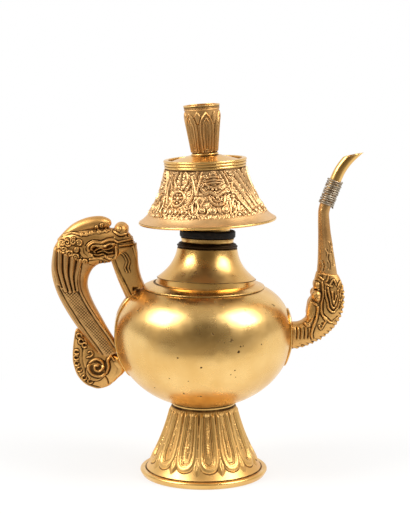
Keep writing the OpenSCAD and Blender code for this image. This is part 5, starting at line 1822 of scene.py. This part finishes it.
WHITE = (1.0, 1.0, 1.0)
PAPER = (0.88, 0.88, 0.88, 1)
TABLE_HALF = 6.0
TABLE_FRONT = -0.2
TABLE_FADE = 0.25
SHADOW_REACH = (0.08, 0.32)
SHADOW_GLOW = 0.68
WALL_TONE = (0.95, 0.95, 0.95)
ROOM_TONE = (0.27, 0.24, 0.20)
FRONT_TONE = (0.13, 0.11, 0.08)
SIDE_TONE = (0.38, 0.34, 0.28)
CEILING_TONE = (0.48, 0.44, 0.38)
FRONT_RANGE = (0.75, 0.05)
SIDE_RANGE = (0.3, 0.75)
CEILING_RANGE = (0.6, 0.95)
SOFTBOX_WAY = (0.70, -0.27, 0.70)
SOFTBOX_FAR = 1.1
SOFTBOX_SIZE = 0.62
SOFTBOX_POWER = 9.5
LIT_SPOT = (0, 0, 0.11)
CAMERA_AT = (0.91, -1072.5, 312.5)
CAMERA_PITCH = 8.955
LENS = 117.75
SENSOR = 36.0


def white_table():
    """Pale floor that reads white to the eye, and keeps the soft shadow near the part."""
    corners = [(x * TABLE_HALF, y * TABLE_HALF, 0) for x, y in ((-1, -1), (1, -1), (1, 1), (-1, 1))]
    mesh = bpy.data.meshes.new("table")
    mesh.from_pydata(corners, [], [(0, 1, 2, 3)])
    floor = linked("table", mesh)
    material = bpy.data.materials.new("white_table")
    material.use_nodes = True
    tree = material.node_tree
    tree.nodes.clear()
    paper = add(tree, "ShaderNodeBsdfDiffuse", {"Color": PAPER})
    where = add(tree, "ShaderNodeTexCoord").outputs["Object"]
    depth = add(tree, "ShaderNodeSeparateXYZ", {0: where}).outputs["Y"]
    path = add(tree, "ShaderNodeLightPath").outputs
    before = ranged(tree, depth, TABLE_FRONT, TABLE_FRONT - TABLE_FADE)
    glow_tone = mix(tree, maths(tree, "MULTIPLY", path["Is Glossy Ray"], before), WHITE, ROOM_TONE)
    glow = add(tree, "ShaderNodeEmission", {"Color": glow_tone, "Strength": 1.0})
    away = add(tree, "ShaderNodeVectorMath", {0: where}, operation="LENGTH").outputs["Value"]
    seen = maths(tree, "MAXIMUM", path["Is Camera Ray"], path["Is Glossy Ray"])
    seen = maths(tree, "MAXIMUM", seen, path["Is Transmission Ray"])
    share = maths(tree, "MULTIPLY", seen, ranged(tree, away, *SHADOW_REACH, SHADOW_GLOW, 1.0))
    surface = add(tree, "ShaderNodeMixShader", {0: share, 1: paper.outputs[0], 2: glow.outputs[0]})
    add(tree, "ShaderNodeOutputMaterial", {"Surface": surface.outputs[0]})
    mesh.materials.append(material)


def studio():
    """White wall behind the part, a darker room beside and before it, and a grey ceiling."""
    world = bpy.data.worlds.new("studio")
    world.use_nodes = True
    bpy.context.scene.world = world
    tree = world.node_tree
    tree.nodes.clear()
    way = add(tree, "ShaderNodeTexCoord").outputs["Generated"]
    axes = add(tree, "ShaderNodeSeparateXYZ", {0: way}).outputs
    sideways = ranged(tree, maths(tree, "ABSOLUTE", axes["X"]), *SIDE_RANGE)
    room = mix(tree, sideways, FRONT_TONE, SIDE_TONE)
    wall = mix(tree, ranged(tree, axes["Y"], *FRONT_RANGE), WALL_TONE, room)
    light = mix(tree, ranged(tree, axes["Z"], *CEILING_RANGE), wall, CEILING_TONE)
    path = add(tree, "ShaderNodeLightPath").outputs
    seen = maths(tree, "MAXIMUM", path["Is Camera Ray"], path["Is Transmission Ray"])
    back = add(tree, "ShaderNodeBackground", {"Color": mix(tree, seen, light, WHITE), "Strength": 1.0})
    add(tree, "ShaderNodeOutputWorld", {"Surface": back.outputs[0]})


def softbox(name, side):
    """Square light beside the part, on the handle's side (-1) or the spout's (1)."""
    light = bpy.data.lights.new(name, "AREA")
    light.shape = "SQUARE"
    light.size = SOFTBOX_SIZE
    light.energy = SOFTBOX_POWER
    obj = linked(name, light)
    way = Vector((side * SOFTBOX_WAY[0], *SOFTBOX_WAY[1:])).normalized()
    obj.location = Vector(LIT_SPOT) + way * SOFTBOX_FAR
    obj.rotation_euler = (-way).to_track_quat("-Z", "Y").to_euler()


def camera():
    data = bpy.data.cameras.new("camera")
    data.sensor_fit = "VERTICAL"
    data.sensor_height = SENSOR
    data.lens = LENS
    obj = linked("camera", data)
    obj.location = Vector(CAMERA_AT) * MM
    obj.rotation_euler = (math.radians(90 - CAMERA_PITCH), 0, 0)
    bpy.context.scene.camera = obj


white_table()
studio()
softbox("softbox_left", -1)
softbox("softbox_right", 1)
camera()
bpy.context.scene.view_settings.view_transform = "Standard"
